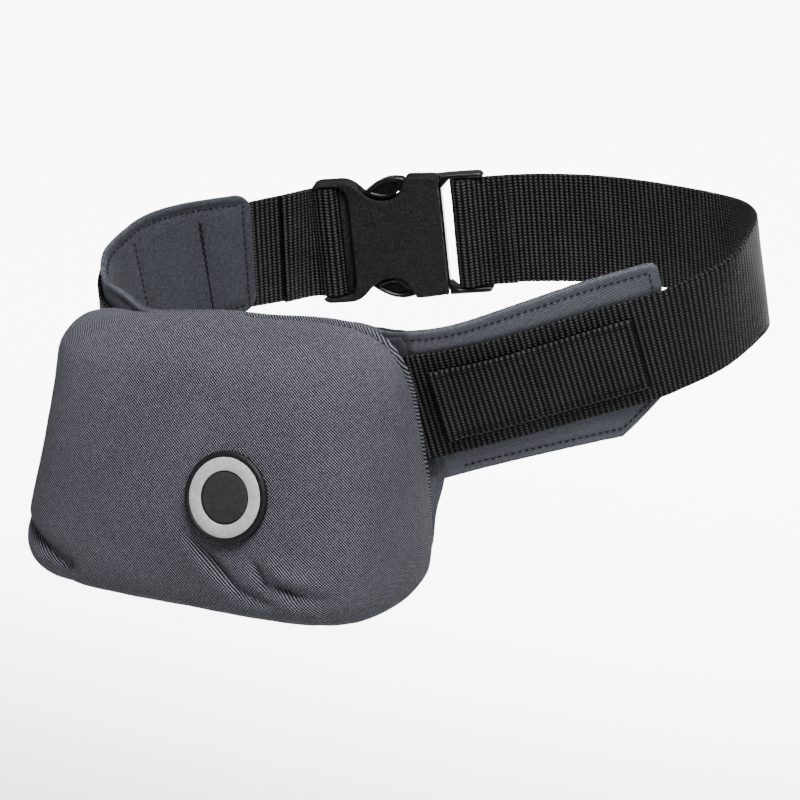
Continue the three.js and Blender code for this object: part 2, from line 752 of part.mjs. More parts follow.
function socketSolid() {
  const mouthBlock = [[mouth, 0], [0, 0], [0, railOut - 1.8, 3], [mouth, railOut - 1.8, 1.5]];
  const waist = [[-1, 0], [24.7, 0], [24.7, railIn - 5.3], [27.8, railIn], [30, railIn], [30, railOut],
    [28.8, railOut, 3], [22.5, railOut - 8, 6], [14, waistHalf - 0.9, 10], [-1, waistHalf - 0.9]];
  const rail = [[29, railIn], [railEnd, railIn], [railEnd, railOut, 2.6], [29, railOut]];
  let body = bothSides(waist, bodyHalf - 1);
  body = body.add(bothSides(mouthBlock, bodyHalf));
  body = body.add(bothSides(rail, barRound / 2 + 0.5));
  body = body.add(bar(barOut, railIn + 0.5, barRound));
  body = body.add(block(24, barOut - 5.8, 3 - railIn, railIn - 3, -0.8, 1.2));
  body = body.subtract(block(mouth - 1, 21.5, -roomTall, roomTall, -roomHalf, roomHalf));
  return body;
}

function insertSolid() {
  const inside = roomTall - fitGap;
  const thin = roomHalf - fitGap;
  const top = railOut - 0.6;
  const rail = [[barIn - 10, railIn], [mouth - 4.5, railIn], [mouth - 0.8, railIn - 4], [mouth - 0.8, top],
    [barIn - 10, top, 2.6]];
  const link = [[mouth - 2.4, inside - 3], [mouth + 5, inside - 3], [mouth + 5, inside],
    [mouth - 2.4, inside]];
  const arm = [[mouth + 2, inside - 4.5], [mouth + 5, inside], [-1, inside - 1], [2, inside - 1],
    [2, inside - 5], [-1, inside - 4.5]];
  const head = [[0.6, waistHalf - 1.4], [19, waistHalf - 1.4], [20, waistHalf + 3.1, 1.5],
    [15.5, railOut - 2.8, 5], [9, railOut - 1.2, 6], [0.6, railOut - 2.4, 2]];
  let solid = bothSides(rail, bodyHalf - 2);
  solid = solid.add(bothSides(link, thin));
  solid = solid.add(block(mouth + 0.4, mouth + 5, -inside, inside, -thin, thin));
  solid = solid.add(bothSides(arm, thin));
  solid = solid.add(bothSides(head, thin));
  solid = solid.add(block(mouth + 4, 10, -3.5, 3.5, -thin, thin));
  solid = solid.add(bar(barIn, railIn + 0.5, barRound));
  return solid;
}

placeBuckle('buckle_socket', socketSolid());
placeBuckle('buckle_insert', insertSolid());

// Badge: it lies on the face, its back following the cover.
const badgeAcross = 0.118 * pouchWide;
const badgeDown = 0.54 * pouchTall;

function faceLevel(u, z) {
  const down = downOf(u, z, 1);
  let lo = 2.5;
  let hi = 8;
  for (let i = 0; i < 30; i++) {
    const v = (lo + hi) / 2;
    const r = coverRow(v);
    const half = (r.low - r.top) / 2;
    const f = half > 0 ? sideShare((down - r.top) / (2 * half), u) : 0;
    const side = u > 0 ? lerp(r.rightTop, r.rightLow, f) : lerp(r.leftTop, r.leftLow, f);
    const a = Math.abs(u / (Math.max(side, 1e-4) * pouchWide)) ** r.square;
    const b = Math.abs((down - (r.top + r.low) / 2) / Math.max(half, 1e-4)) ** r.square;
    if (a + b < 1) lo = v;
    else hi = v;
  }
  return coverRow(lo).level;
}

function facePoint(u, z) {
  const p = seatPoint(u, z, 0);
  p.y = lerp(p.y, middle.y - faceDepth(z), faceLevel(u, z)) + foldDepth(u, z);
  return p;
}

const badgeHub = facePoint(badgeAcross, pouchTopZ - badgeDown);
const badgeSide = facePoint(badgeAcross + 12, pouchTopZ - badgeDown).sub(facePoint(badgeAcross - 12, pouchTopZ
  - badgeDown)).normalize();
const badgeUp = facePoint(badgeAcross, pouchTopZ - badgeDown + 12).sub(facePoint(badgeAcross, pouchTopZ
  - badgeDown - 12)).normalize();
const badgeOut = badgeSide.clone().cross(badgeUp).normalize();

function badgeAt(radius, turn, lift) {
  const p = badgeHub.clone();
  p.addScaledVector(badgeSide, radius * Math.cos(turn)).addScaledVector(badgeUp, radius * Math.sin(turn));
  const face = facePoint(p.x - middle.x, p.z);
  return face.addScaledVector(badgeOut, lift);
}

const badgeTurns = spread(0, 2 * Math.PI, 2 * Math.PI / 28).slice(0, -1);
const badgeHalf = badgeWide / 2;
const lay = layGap + 0.2;
const badgeRing = (radius, lift) => badgeTurns.map((a) => badgeAt(radius, a, lift));
domeSolid(
  'badge_base',
  badgeTurns.length,
  {
    rings: [
      badgeRing(badgeHalf, lay + 0.4),
      badgeRing(badgeHalf - 0.6, lay + badgeThick + 0.8),
      badgeRing(badgeHalf - 2, lay + badgeThick + 0.8),
      badgeRing(badgeHalf - 2.3, lay + badgeThick),
      badgeRing(badgeHalf * 0.5, lay + badgeThick),
    ],
    pole: badgeAt(0, 0, lay + badgeThick),
  },
  { rings: [badgeRing(badgeHalf, lay), badgeRing(badgeHalf * 0.5, lay)], pole: badgeAt(0, 0, lay) },
  blackPlastic,
);
hoopSolid(
  'badge_ring',
  badgeTurns.length,
  [
    { r: badgeHalf - 2.9, h: badgeThick + 0.35 },
    { r: badgeHalf - 2.8, h: badgeThick + 0.8 },
    { r: badgeHalf * 0.58, h: badgeThick + 0.8 },
    { r: badgeHalf * 0.58, h: badgeThick + 0.35 },
  ],
  (i, q) => badgeAt(q.r, badgeTurns[i], lay + q.h),
  light,
);

export default group;
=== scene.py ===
import math

import bpy
import bmesh
import numpy as np
from mathutils import Matrix, Vector


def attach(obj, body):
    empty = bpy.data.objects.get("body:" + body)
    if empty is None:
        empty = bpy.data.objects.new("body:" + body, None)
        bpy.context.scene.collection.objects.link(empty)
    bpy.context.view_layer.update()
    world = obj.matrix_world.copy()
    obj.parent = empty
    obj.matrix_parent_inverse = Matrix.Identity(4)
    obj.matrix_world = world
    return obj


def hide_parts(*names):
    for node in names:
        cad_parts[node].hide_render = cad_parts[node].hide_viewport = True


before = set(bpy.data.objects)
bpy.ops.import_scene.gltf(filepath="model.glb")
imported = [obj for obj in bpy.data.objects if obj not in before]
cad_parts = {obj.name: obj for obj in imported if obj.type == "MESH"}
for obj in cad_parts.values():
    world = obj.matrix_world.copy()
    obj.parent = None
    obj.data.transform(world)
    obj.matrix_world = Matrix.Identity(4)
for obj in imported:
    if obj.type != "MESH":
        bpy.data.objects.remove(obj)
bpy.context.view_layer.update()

# lengths are in millimetres until a mesh is made
belt = dict(loopWide=286, loopDeep=182, webWide=50.8, webThick=1.8, layGap=0.5, fitGap=0.3, hangSpan=18,
            straight=(0.12, 0.93), spanSteps=24)
# roll and droop change the height and the top line across; the rim drops on its left, lifts on its right
pouch = dict(wide=178, tall=124, deep=55, thick=1.6, wingMargin=11.5, roll=0.02, droop=0.085,
             rimDrop=5.5, dropBy=0.36, rimLift=3.8, liftBy=0.28, fadeFrom=0.33, fadeOver=0.12, rimLevel=0.7)
webHalf = belt["webWide"] / 2
webFace = belt["webThick"] / 2

# worn loop: across in loop widths, along and up in loop depths, lean in degrees
pathRows = [
    ("pouchMid", -0.168, -0.5, -0.107, 2),
    ("pouchRight", 0.063, -0.456, -0.102, 9),
    ("wingStart", 0.175, -0.387, -0.06, 16),
    ("wingHalf", 0.332, -0.242, 0.022, 14),
    ("wingEnd", 0.434, -0.126, 0.08, 12),
    ("bendIn", 0.485, 0.016, 0.129, 6),
    ("bend", 0.482, 0.165, 0.166, -5),
    ("bendOut", 0.428, 0.33, 0.16, -8),
    ("farRight", 0.339, 0.458, 0.14, -7),
    ("far", 0.203, 0.5, 0.135, -7),
    ("farMid", 0.06, 0.494, 0.123, -1),
    ("buckleRight", -0.056, 0.451, 0.106, 1),
    ("buckleLeft", -0.344, 0.25, 0.054, 1),
    ("leftWeb", -0.371, 0.163, 0.051, 0),
    ("leftWing", -0.418, 0.044, 0.041, -4),
    ("leftHalf", -0.466, -0.066, 0.019, -4),
    ("leftStart", -0.502, -0.198, -0.014, -3),
    ("leftBend", -0.51, -0.291, -0.047, -2),
    ("leftTurn", -0.487, -0.374, -0.092, 0),
    ("pouchLeft", -0.402, -0.454, -0.142, 2),
]

# cover sections from the rim to the face: level in depths, halves in widths, top and low in heights
coverRows = np.array([
    # level, leftTop, leftLow, rightTop, rightLow, top, low, square
    [0, 0.435, 0.465, 0.435, 0.46, 0, 0.93, 7],
    [0.12, 0.45, 0.485, 0.44, 0.485, -0.01, 0.95, 7],
    [0.35, 0.465, 0.51, 0.43, 0.495, 0.005, 0.975, 7],
    [0.6, 0.475, 0.52, 0.4, 0.48, 0.05, 0.985, 6.5],
    [0.8, 0.475, 0.519, 0.335, 0.44, 0.1, 0.97, 5.6],
    [0.93, 0.425, 0.47, 0.26, 0.36, 0.15, 0.94, 4.6],
    [0.985, 0.385, 0.43, 0.18, 0.28, 0.25, 0.87, 3.6],
    [1.01, 0.27, 0.3, 0.11, 0.17, 0.38, 0.75, 2.4],
    [1.02, 0, 0, 0, 0, 0.57, 0.57, 2],
])


def unit(a):
    return a / np.maximum(np.linalg.norm(a, axis=-1, keepdims=True), 1e-9)


def smooth(f):
    # three f squared less two f cubed, held between 0 and 1
    c = np.clip(f, 0, 1)
    return c * c * (3 - 2 * c)


def lerp(a, b, f):
    return a + (b - a) * f


def runOf(points):
    # lengths along a line of points
    return np.concatenate([[0], np.cumsum(np.linalg.norm(np.diff(points, axis=0), axis=1))])


def splineAt(a, b, c, d, f):
    # Catmull-Rom: the cubic from b to c whose ends run along a to c and b to d
    return b + 0.5 * f * (c - a + f * (2 * a - 5 * b + 4 * c - d + f * (3 * (b - c) + d - a)))


def makePath():
    # one closed run through the rows: cubic Hermite spans, tangents weighted by the chords
    names = [row[0] for row in pathRows]
    rows = np.array([row[1:] for row in pathRows]) * [belt["loopWide"], belt["loopDeep"], belt["loopDeep"], 1]
    # the buckle keeps its part of the belt straight
    at = names.index("buckleRight") + 1
    straight = [lerp(rows[at - 1], rows[at], f) for f in belt["straight"]]
    q = np.concatenate([rows[:at], straight, rows[at:]])
    names[at:at] = ["straight"] * len(straight)
    steps = belt["spanSteps"]
    after = np.roll(q, -1, 0) - q
    before = q - np.roll(q, 1, 0)
    ha = np.linalg.norm(after[:, :3], axis=1, keepdims=True)
    hb = np.linalg.norm(before[:, :3], axis=1, keepdims=True)
    tangent = (before * ha / hb + after * hb / ha) / (ha + hb)
    f = (np.arange(steps) / steps)[None, :, None]
    a, b = q[:, None], np.roll(q, -1, 0)[:, None]
    ta, tb, h = tangent[:, None], np.roll(tangent, -1, 0)[:, None], ha[:, None]
    fine = (2 * f**3 - 3 * f**2 + 1) * a + (3 * f**2 - 2 * f**3) * b
    fine = fine + (f**3 - 2 * f**2 + f) * h * ta + (f**3 - f**2) * h * tb
    fine = fine.reshape(-1, 4)
    closed = np.concatenate([fine, fine[:1]])
    run = runOf(closed[:, :3])
    d = unit(np.roll(fine[:, :3], -1, 0) - np.roll(fine[:, :3], 1, 0))
    places = {name: run[i * steps] for i, name in enumerate(names)}
    return closed, run, np.concatenate([d, d[:1]]), places


pathFine, pathRun, pathDir, placeOf = makePath()
pathTotal = pathRun[-1]
middle = pathFine[0, :3]
pouchTopZ = middle[2] + webHalf + pouch["wingMargin"]
upward = np.array([0, 0, 1.0])


def frameAt(s):
    # point, run, up-the-band and outward directions at a length along the belt
    run = np.mod(s, pathTotal)
    k = np.clip(np.searchsorted(pathRun, run, "right") - 1, 0, len(pathRun) - 2)
    f = ((run - pathRun[k]) / (pathRun[k + 1] - pathRun[k]))[..., None]
    here = lerp(pathFine[k], pathFine[k + 1], f)
    d = unit(lerp(pathDir[k], pathDir[k + 1], f))
    lean = np.radians(here[..., 3:])
    up = unit(upward - d * d[..., 2:])
    out = np.cross(d, up)
    w = up * np.cos(lean) + out * np.sin(lean)
    return here[..., :3], d, w, np.cross(d, w)


def wrap(s, t, o):
    # belt coordinates: s along, t up the band, o outwards; below the webbing the band hangs straight
    s, t, o = np.broadcast_arrays(np.asarray(s, float), t, o)
    p, d, w, n = frameAt(s)
    below = np.maximum(0, -webHalf - t)
    span = belt["hangSpan"]
    turn = np.clip(below / span, 0, 1)[..., None]
    drop = np.where(below < span, below * below / (2 * span), below - span / 2)[..., None]
    flat = unit(np.cross(d, upward))
    n = unit(lerp(n, flat, turn))
    return p + w * t[..., None] + (w - upward) * drop + n * o[..., None]


def onBand(x, z):
    # the s and t whose point has this x and z, by repeated correction
    s, t = x - middle[0], z - middle[2]
    for _ in range(12):
        p = wrap(s, t, 0.0)
        d = frameAt(s)[1]
        s = s + (x - p[..., 0]) / np.maximum(0.5, d[..., 0]) * 0.9
        t = t + (z - p[..., 2]) * 0.9
    return s, t


print("belt path", round(float(pathTotal), 1), "mm")


# meshes

def linked(name, data):
    made = bpy.data.objects.new(name, data)
    bpy.context.scene.collection.objects.link(made)
    return made


def addPiece(name, points, faces, material, uv=None, attributes=None):
    mesh = bpy.data.meshes.new(name)
    points = np.asarray(points, float).reshape(-1, 3) / 1000
    mesh.from_pydata(points.tolist(), [], [list(f) for f in faces])
    mesh.update()
    if uv is not None:
        layer = mesh.uv_layers.new(name="UVMap")
        index = np.empty(len(mesh.loops), int)
        mesh.loops.foreach_get("vertex_index", index)
        layer.data.foreach_set("uv", np.asarray(uv, float).reshape(-1, 2)[index].ravel())
    for key, values in (attributes or {}).items():
        field = mesh.attributes.new(key, "FLOAT", "POINT")
        field.data.foreach_set("value", np.asarray(values, float).ravel())
    mesh.polygons.foreach_set("use_smooth", np.ones(len(mesh.polygons), bool))
    mesh.materials.append(material)
    piece = linked(name, mesh)
    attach(piece, "root")
    return piece


def gridFaces(cols, rows, closedCols=False, closedRows=False):
    i = np.arange(cols if closedCols else cols - 1)[:, None]
    j = np.arange(rows if closedRows else rows - 1)[None, :]
    i2, j2 = (i + 1) % cols, (j + 1) % rows
    faces = np.stack([i * rows + j, i2 * rows + j, i2 * rows + j2, i * rows + j2], -1)
    return faces.reshape(-1, 4).tolist()


def tubeFaces(stations, around):
    # a closed outline carried along its stations, with a cap at each end
    caps = [list(range(around))[::-1], list(range((stations - 1) * around, stations * around))]
    return gridFaces(stations, around, closedRows=True) + caps


def fannedFaces(rings, around):
    # rings closed at both ends by a fan, whose two tips come after the rings' points
    tip, last = rings * around, (rings - 1) * around
    pairs = [(i, (i + 1) % around) for i in range(around)]
    faces = gridFaces(rings, around, closedRows=True)
    return faces + [[i, j, tip] for i, j in pairs] + [[last + j, last + i, tip + 1] for i, j in pairs]


def outwards(piece, merge=None):
    # doubles merged where asked, then faces turned to point out of the closed mesh
    mesh = bmesh.new()
    mesh.from_mesh(piece.data)
    if merge:
        bmesh.ops.remove_doubles(mesh, verts=mesh.verts, dist=merge)
    bmesh.ops.recalc_face_normals(mesh, faces=mesh.faces)
    mesh.to_mesh(piece.data)
    mesh.free()
    return piece


threadSides = 6  # corners round a thread, and rings along each stitch


def stitchRow(name, points, outs, look):
    # thread: short rounded bars laid along a line of points, sunk at both ends
    p = np.asarray(points, float)
    o = unit(np.asarray(outs, float))
    run = runOf(p)
    count = max(1, int(run[-1] / look["pitch"]))
    mids = (np.arange(count) + 0.5) * run[-1] / count
    half = look["long"] / 2

    def along(at, table):
        return np.stack([np.interp(at, run, table[:, k]) for k in range(3)], -1)

    a, b = along(mids - half, p), along(mids + half, p)
    out = unit(along(mids, o))
    run3 = unit(b - a)
    side = np.cross(run3, out)
    stations = np.linspace(0, 1, threadSides)
    ring = np.linspace(0, 2 * np.pi, threadSides, endpoint=False)
    f, r = np.meshgrid(stations, ring, indexing="ij")
    fat = np.sin(np.pi * np.clip(f, 0.04, 0.96)) ** 0.4 * look["thick"] / 2
    lift = (np.sin(np.pi * f) ** 0.7 - 0.75) * look["thick"] * 0.55
    a, way, out, side = (v[:, None, None] for v in (a, b - a, out, side))
    verts = a + way * f[..., None] + out * (lift + np.sin(r) * fat)[..., None]
    verts = verts + side * (np.cos(r) * fat)[..., None]
    one = tubeFaces(threadSides, threadSides)
    faces = [[v + threadSides**2 * k for v in face] for k in range(count) for face in one]
    return outwards(addPiece(name + "Stitches", verts, faces, look["material"]))


# materials

class Value:
    # wraps a number socket, so that shader maths is written as Python

    def __init__(self, tree, socket):
        self.tree, self.socket = tree, socket

    def maths(self, operation, other=None, swap=False):
        node = self.tree.nodes.new("ShaderNodeMath")
        node.operation = operation
        pair = [self, other] if not swap else [other, self]
        for k, item in enumerate(pair):
            if item is None:
                continue
            if isinstance(item, Value):
                self.tree.links.new(item.socket, node.inputs[k])
            else:
                node.inputs[k].default_value = float(item)
        return Value(self.tree, node.outputs[0])

    def __add__(self, other):
        return self.maths("ADD", other)

    __radd__ = __add__

    def __mul__(self, other):
        return self.maths("MULTIPLY", other)

    __rmul__ = __mul__

    def __sub__(self, other):
        return self.maths("SUBTRACT", other)

    def __rsub__(self, other):
        return self.maths("SUBTRACT", other, swap=True)

    def __pow__(self, other):
        return self.maths("POWER", other)

    def sin(self):
        return self.maths("SINE")

    def fract(self):
        return self.maths("FRACT")

    def floor(self):
        return self.maths("FLOOR")


class Finish:
    # a material being made, with any fixed values of its shader

    def __init__(self, name, **fixed):
        self.material = bpy.data.materials.new(name)
        self.material.use_nodes = True
        self.tree = self.material.node_tree
        self.shader = next(n for n in self.tree.nodes if n.type == "BSDF_PRINCIPLED")
        for key, value in fixed.items():
            self.shader.inputs[key.replace("_", " ")].default_value = value

    def node(self, kind, settings=None, inputs=None, output=0):
        # settings first, a ramp's stops among them, then the values or links of its sockets
        made = self.tree.nodes.new(kind)
        for key, value in (settings or {}).items():
            if key == "stops":
                self.fillRamp(made.color_ramp, value)
            else:
                setattr(made, key, value)
        for key, value in (inputs or {}).items():
            self.put(made.inputs[key], value)
        return made.outputs if output is None else made.outputs[output]

    def fillRamp(self, ramp, stops):
        while len(ramp.elements) < len(stops):
            ramp.elements.new(0.5)
        for element, (place, colour) in zip(ramp.elements, stops):
            element.position = place
            element.color = (*colour, 1)

    def put(self, socket, value):
        if isinstance(value, Value):
            value = value.socket
        if isinstance(value, bpy.types.NodeSocket):
            self.tree.links.new(value, socket)
        else:
            socket.default_value = value

    def place(self, kind="Object"):
        return self.node("ShaderNodeTexCoord", output=kind)

    def parts(self, vector):
        made = self.node("ShaderNodeSeparateXYZ", None, {0: vector}, None)
        return [Value(self.tree, part) for part in made]

    def noise(self, vector, scale, detail=2.0, roughness=0.5):
        return Value(self.tree, self.node(
            "ShaderNodeTexNoise", {"noise_dimensions": "3D"},
            {"Vector": vector, "Scale": scale, "Detail": detail, "Roughness": roughness}))

    def attribute(self, name):
        return Value(self.tree, self.node("ShaderNodeAttribute", {"attribute_name": name}, output=2))

    def colours(self, factor, stops):
        return self.node("ShaderNodeValToRGB", {"stops": stops}, {0: factor})

    def bump(self, height, strength, distance):
        self.set("Normal", self.node(
            "ShaderNodeBump", None, {"Height": height, "Strength": strength, "Distance": distance}))

    def set(self, key, value):
        self.put(self.shader.inputs[key], value)


wavePerMm = 2 * math.pi * 1000  # a sine's turn for each millimetre, on lengths in metres


def fabric(name, tones, twill, source="UV"):
    # twill in cloth coordinates: dark valleys between slanting ridges, broken by the weft
    finish = Finish(name, Roughness=0.9, Specular_IOR_Level=0.12, Sheen_Weight=0.03, Sheen_Roughness=0.4)
    place = finish.place()
    u, v, w = finish.parts(finish.place(source))
    wander = finish.noise(place, 240, 1) * 1.3
    line = ((u * 0.8 + v + w) * (wavePerMm / twill["pitch"]) + wander).sin() * 0.5 + 0.5
    cross = ((u - v * 0.8) * (wavePerMm / twill["thread"]) + wander * 2.0).sin() * 0.5 + 0.5
    weave = line * (cross * 0.4 + 0.6)
    mottle = finish.noise(place, 26, 3, 0.6)
    speck = finish.noise(place, 900, 2, 0.6)
    tone = weave * twill["contrast"] + (mottle - 0.5) * 0.16 + (speck - 0.5) * twill["speck"]
    if "outer" in twill:
        # painted light and shade: the outer faces of the piece are made paler than its inner faces, standing
        # in for the shade on the inner faces
        tone = tone + finish.attribute("outerFace") * twill["outer"]
    dark, mid, light = tones
    finish.set("Base Color", finish.colours(tone, [(0.05, dark), (0.4, mid), (0.85, light)]))
    finish.bump(weave, twill["bump"], 0.0006)
    return finish.material


def ribbed(name, tones, pitch, warp):
    # webbing: ribs along U, each a row of slanted knots, leaning the other way in every second rib
    finish = Finish(name, Roughness=0.62, Specular_IOR_Level=0.1)
    u, v, _ = finish.parts(finish.place("UV"))
    place = finish.place()
    stray = finish.noise(place, 160, 2) * 0.5
    step = u * (1000 / pitch)
    within = step.fract()
    lean = ((step.floor() * 0.5).fract() * 4 - 1) * (within - 0.5) * 3.0
    ribs = (within * math.pi).sin() ** 1.4
    knots = (v * (wavePerMm / warp) + lean + stray).sin() * 0.5 + 0.5
    height = ribs * (knots * 0.7 + 0.3)
    mottle = finish.noise(place, 60, 3, 0.6)
    fuzz = finish.noise(place, 1500, 1, 0.5)
    dark, light = tones
    # painted shade and highlight: besides the weave's own knots, the colour follows the rib height, dark in
    # the grooves between ribs and light on the knot tops
    tone = height * 0.9 + (mottle - 0.5) * 0.3 + (fuzz - 0.5) * 0.5
    finish.set("Base Color", finish.colours(tone, [(0.2, dark), (0.95, light)]))
    finish.bump(height, 1.0, 0.0009)
    return finish.material


def moulded(name, tone, roughness, grain, depth, shine=0.35, speckle=0.15):
    # moulded plastic: fine pebble grain and faint wear in the roughness
    finish = Finish(name, Specular_IOR_Level=shine)
    place = finish.place()
    pebble = finish.noise(place, grain, 2, 0.6)
    wear = finish.noise(place, 90, 3, 0.6)
    blotch = finish.noise(place, grain * 0.35, 3, 0.7)
    shade = (pebble - 0.5) * 1.6 + (blotch - 0.5) * 1.2 + 0.5
    dark = tuple(c * (1 - speckle) for c in tone)
    light = tuple(c * (1 + 1.6 * speckle) for c in tone)
    finish.set("Base Color", finish.colours(shade, [(0.1, dark), (0.9, light)]))
    finish.set("Roughness", wear * 0.25 + (roughness - 0.12))
    finish.bump(pebble, 0.5, depth)
    return finish.material


def threadLook(name, tone):
    # twisted thread: fine bands across the strand
    finish = Finish(name, Roughness=0.8, Specular_IOR_Level=0.15)
    place = finish.place()
    x, y, z = finish.parts(place)
    twist = ((x + y + z) * 9000).sin() * 0.5 + 0.5
    dark = tuple(c * 0.6 for c in tone)
    finish.set("Base Color", finish.colours(twist, [(0, dark), (1, tone)]))
    finish.bump(twist, 0.4, 0.0001)
    return finish.material


tones = dict(
    slate=((0.006, 0.006, 0.009), (0.039, 0.0391, 0.0475), (0.195, 0.196, 0.231)),
    dark=((0.010, 0.011, 0.0145), (0.0395, 0.0425, 0.0515), (0.148, 0.155, 0.18)),
)
twills = dict(
    slate=dict(pitch=1.22, thread=1.5, contrast=0.95, speck=0.5, bump=0.6),
    # outer: how much paler the dark cloth's outer faces are painted, standing in for the shade on its inner
    # faces
    dark=dict(pitch=0.82, thread=0.9, contrast=0.72, speck=0.5, bump=0.4, outer=0.26),
    packed=dict(pitch=1.4, thread=1.4, contrast=0.6, speck=0.4, bump=0.4),
)
slate = fabric("slateTwill", tones["slate"], twills["slate"])
darkSlate = fabric("darkTwill", tones["dark"], twills["dark"])
packedCloth = fabric("packedTwill", tones["dark"], twills["packed"], source="Object")
# the webbing's darkest tone stands for painted shade in its grooves, its lightest for painted highlights on
# its knots
webLook = ribbed("ribbedWebbing", ((0.0008, 0.0008, 0.001), (0.07, 0.068, 0.0695)), 2.4, 1.45)
plastic = moulded("grainedPlastic", (0.0048, 0.0047, 0.0053), 0.5, 1100, 0.0022, 0.19, 0.9)
glossPlastic = moulded("glossyPlastic", (0.0025, 0.0025, 0.003), 0.26, 400, 0.00005, 0.5)
rubber = moulded("darkRubber", (0.022, 0.022, 0.0224), 0.7, 700, 0.00005, 0.2)
blackRubber = moulded("blackRubber", (0.006, 0.006, 0.007), 0.55, 700, 0.00005, 0.25)
paleRubber = moulded("paleRubber", (0.41, 0.416, 0.422), 0.55, 700, 0.00005, 0.3)
threadDark = threadLook("darkThread", (0.006, 0.006, 0.009))
# the slate thread is darker than the slate cloth: partly the thread's own colour, partly painted shade
# standing in for the shadow in the hem's groove
threadSlate = threadLook("slateThread", (0.009, 0.0095, 0.013))
# stitches: pitch, length and thickness in mm
hemThread = dict(pitch=2.7, long=2.0, thick=0.6, material=threadSlate, slot="slate_cloth")
wingThread = dict(pitch=2.9, long=2.0, thick=0.6, material=threadDark, slot="dark_cloth")
webThread = dict(pitch=2.4, long=1.9, thick=0.55, material=threadDark, slot="black_webbing")
print("materials made")

# pouch cover

cover = dict(
    turns=420, rings=150, rimRings=25, lastRow=7.93, innerAt=(0, 3, 8, 16, 26, 45, 70, 100, 149),
    crown=3.2, hem=4.6, hemDip=1.5, hemWide=1.3, flangeBulge=0.5, squareLeft=2.9, squareRight=0.5,
    blurTurns=12, blurRings=5,
    # folds: ends as shares of width across and height down, deep inwards in mm, wide in mm
    folds=[
        ("leftPleat", -0.495, 0.785, -0.345, 0.87, 4.2, 2.6),
        ("leftPit", -0.35, 0.87, -0.315, 0.895, 4.5, 2.8),
        ("leftLobe", -0.47, 0.86, -0.39, 0.92, -2.4, 5),
        ("leftLow", -0.37, 0.93, -0.33, 0.96, 2, 3),
        ("leftFacet", -0.5, 0.05, -0.54, 0.62, 6.2, 9.5),
        ("longCrease", 0.03, 0.7, 0.175, 0.85, 3.2, 2.2),
        ("longEnd", 0.175, 0.85, 0.26, 0.885, 2.2, 2.6),
        ("longRoll", 0.0, 0.72, 0.14, 0.87, -1.2, 5),
        ("shortCrease", 0.205, 0.745, 0.255, 0.84, 2.6, 2),
        ("shortRoll", 0.24, 0.72, 0.3, 0.8, -1.6, 4.5),
        ("pinch", 0.262, 0.81, 0.33, 0.84, 3.6, 2),
        ("pinchEnd", 0.33, 0.84, 0.4, 0.85, 1.6, 2.4),
        ("pinchRoll", 0.29, 0.775, 0.38, 0.8, -2.0, 4),
        ("pinchLow", 0.28, 0.87, 0.36, 0.9, -1.4, 4),
        ("gatherA", 0.34, 0.89, 0.365, 0.97, 1.4, 1.8),
        ("gatherB", 0.385, 0.88, 0.41, 0.96, 1.4, 1.8),
        ("gatherC", 0.43, 0.87, 0.45, 0.95, 1.0, 1.8),
        ("softRidge", 0.27, 0.1, 0.29, 0.62, -1.6, 11),
        ("sideHollow", 0.38, 0.2, 0.42, 0.55, 1.2, 10),
        ("topDip", 0.2, 0.02, 0.31, 0.07, 1.2, 3.0),
        ("topDipB", 0.12, 0.03, 0.22, 0.09, 0.8, 3.0),
        ("topRoll", 0.24, -0.01, 0.33, 0.03, -0.7, 3),
        ("lowWave", -0.2, 0.95, 0.05, 0.98, 0.8, 7),
    ],
)


def droopAt(u, level):
    # the top line droops on the left, and next to the panel it is tilted further
    share = u / pouch["wide"]
    fade = 1 - 0.7 * smooth((share - pouch["fadeFrom"]) / pouch["fadeOver"])
    lift = pouch["rimLift"] * smooth(share / pouch["liftBy"]) * fade
    tilt = np.where(u > 0, lift, -pouch["rimDrop"] * np.minimum(1, -share / pouch["dropBy"]))
    return pouch["droop"] * np.minimum(0, u) + tilt * (1 - smooth(level / pouch["rimLevel"]))


def tallAt(u, level):
    return pouch["tall"] - pouch["roll"] * u + droopAt(u, level)


def downOf(u, z, level):
    return (pouchTopZ + droopAt(u, level) - z) / tallAt(u, level)


def coverRow(v):
    # a curve through the section table
    last = len(coverRows) - 1
    k = np.minimum(last - 1, np.floor(v)).astype(int)
    f = (v - k)[..., None]
    a, b, c, d = (coverRows[np.clip(k + i, 0, last)] for i in (-1, 0, 1, 2))
    return splineAt(a, b, c, d, f)


def ringSide(row, down, u, grow=0.0):
    # half width of a ring at a height: it widens down its sides, faster on the right
    _, leftTop, leftLow, rightTop, rightLow, top, low, _ = np.moveaxis(row, -1, 0)
    share = np.clip((down - top) / np.maximum(low - top + 2 * grow, 1e-6), 0, 1)
    share = share ** np.where(u > 0, 0.6, 1.6)
    return np.where(u > 0, lerp(rightTop, rightLow, share), lerp(leftTop, leftLow, share))


def coverRing(v, turn):
    # superellipse ring: reach falls from the corner, each side has its own half width
    row = coverRow(v)
    level, top, low, square = (row[..., k] for k in (0, 5, 6, 7))
    c, s = np.cos(turn), np.sin(turn)
    # the top left and low right corners are squarer
    square = square * (1 + cover["squareLeft"] * smooth(s * 2) * smooth(-c * 2)
                       + cover["squareRight"] * smooth(-s * 2) * smooth(c * 2))
    reach = (np.abs(c) ** square + np.abs(s) ** square) ** (-1 / square)
    down = (top + low) / 2 - (low - top) / 2 * s * reach
    u = ringSide(row, down, c) * c * reach * pouch["wide"]
    return u, pouchTopZ + droopAt(u, level) - down * tallAt(u, level), level


def coverSeat(t):
    over = 1 - np.clip((np.abs(t) - webHalf - 1.4) / 4, 0, 1)
    return lerp(-webFace, webFace + belt["layGap"], over)


def faceDepth(z):
    return pouch["deep"] * (0.47 + 0.6 * (pouchTopZ - z) / pouch["tall"])


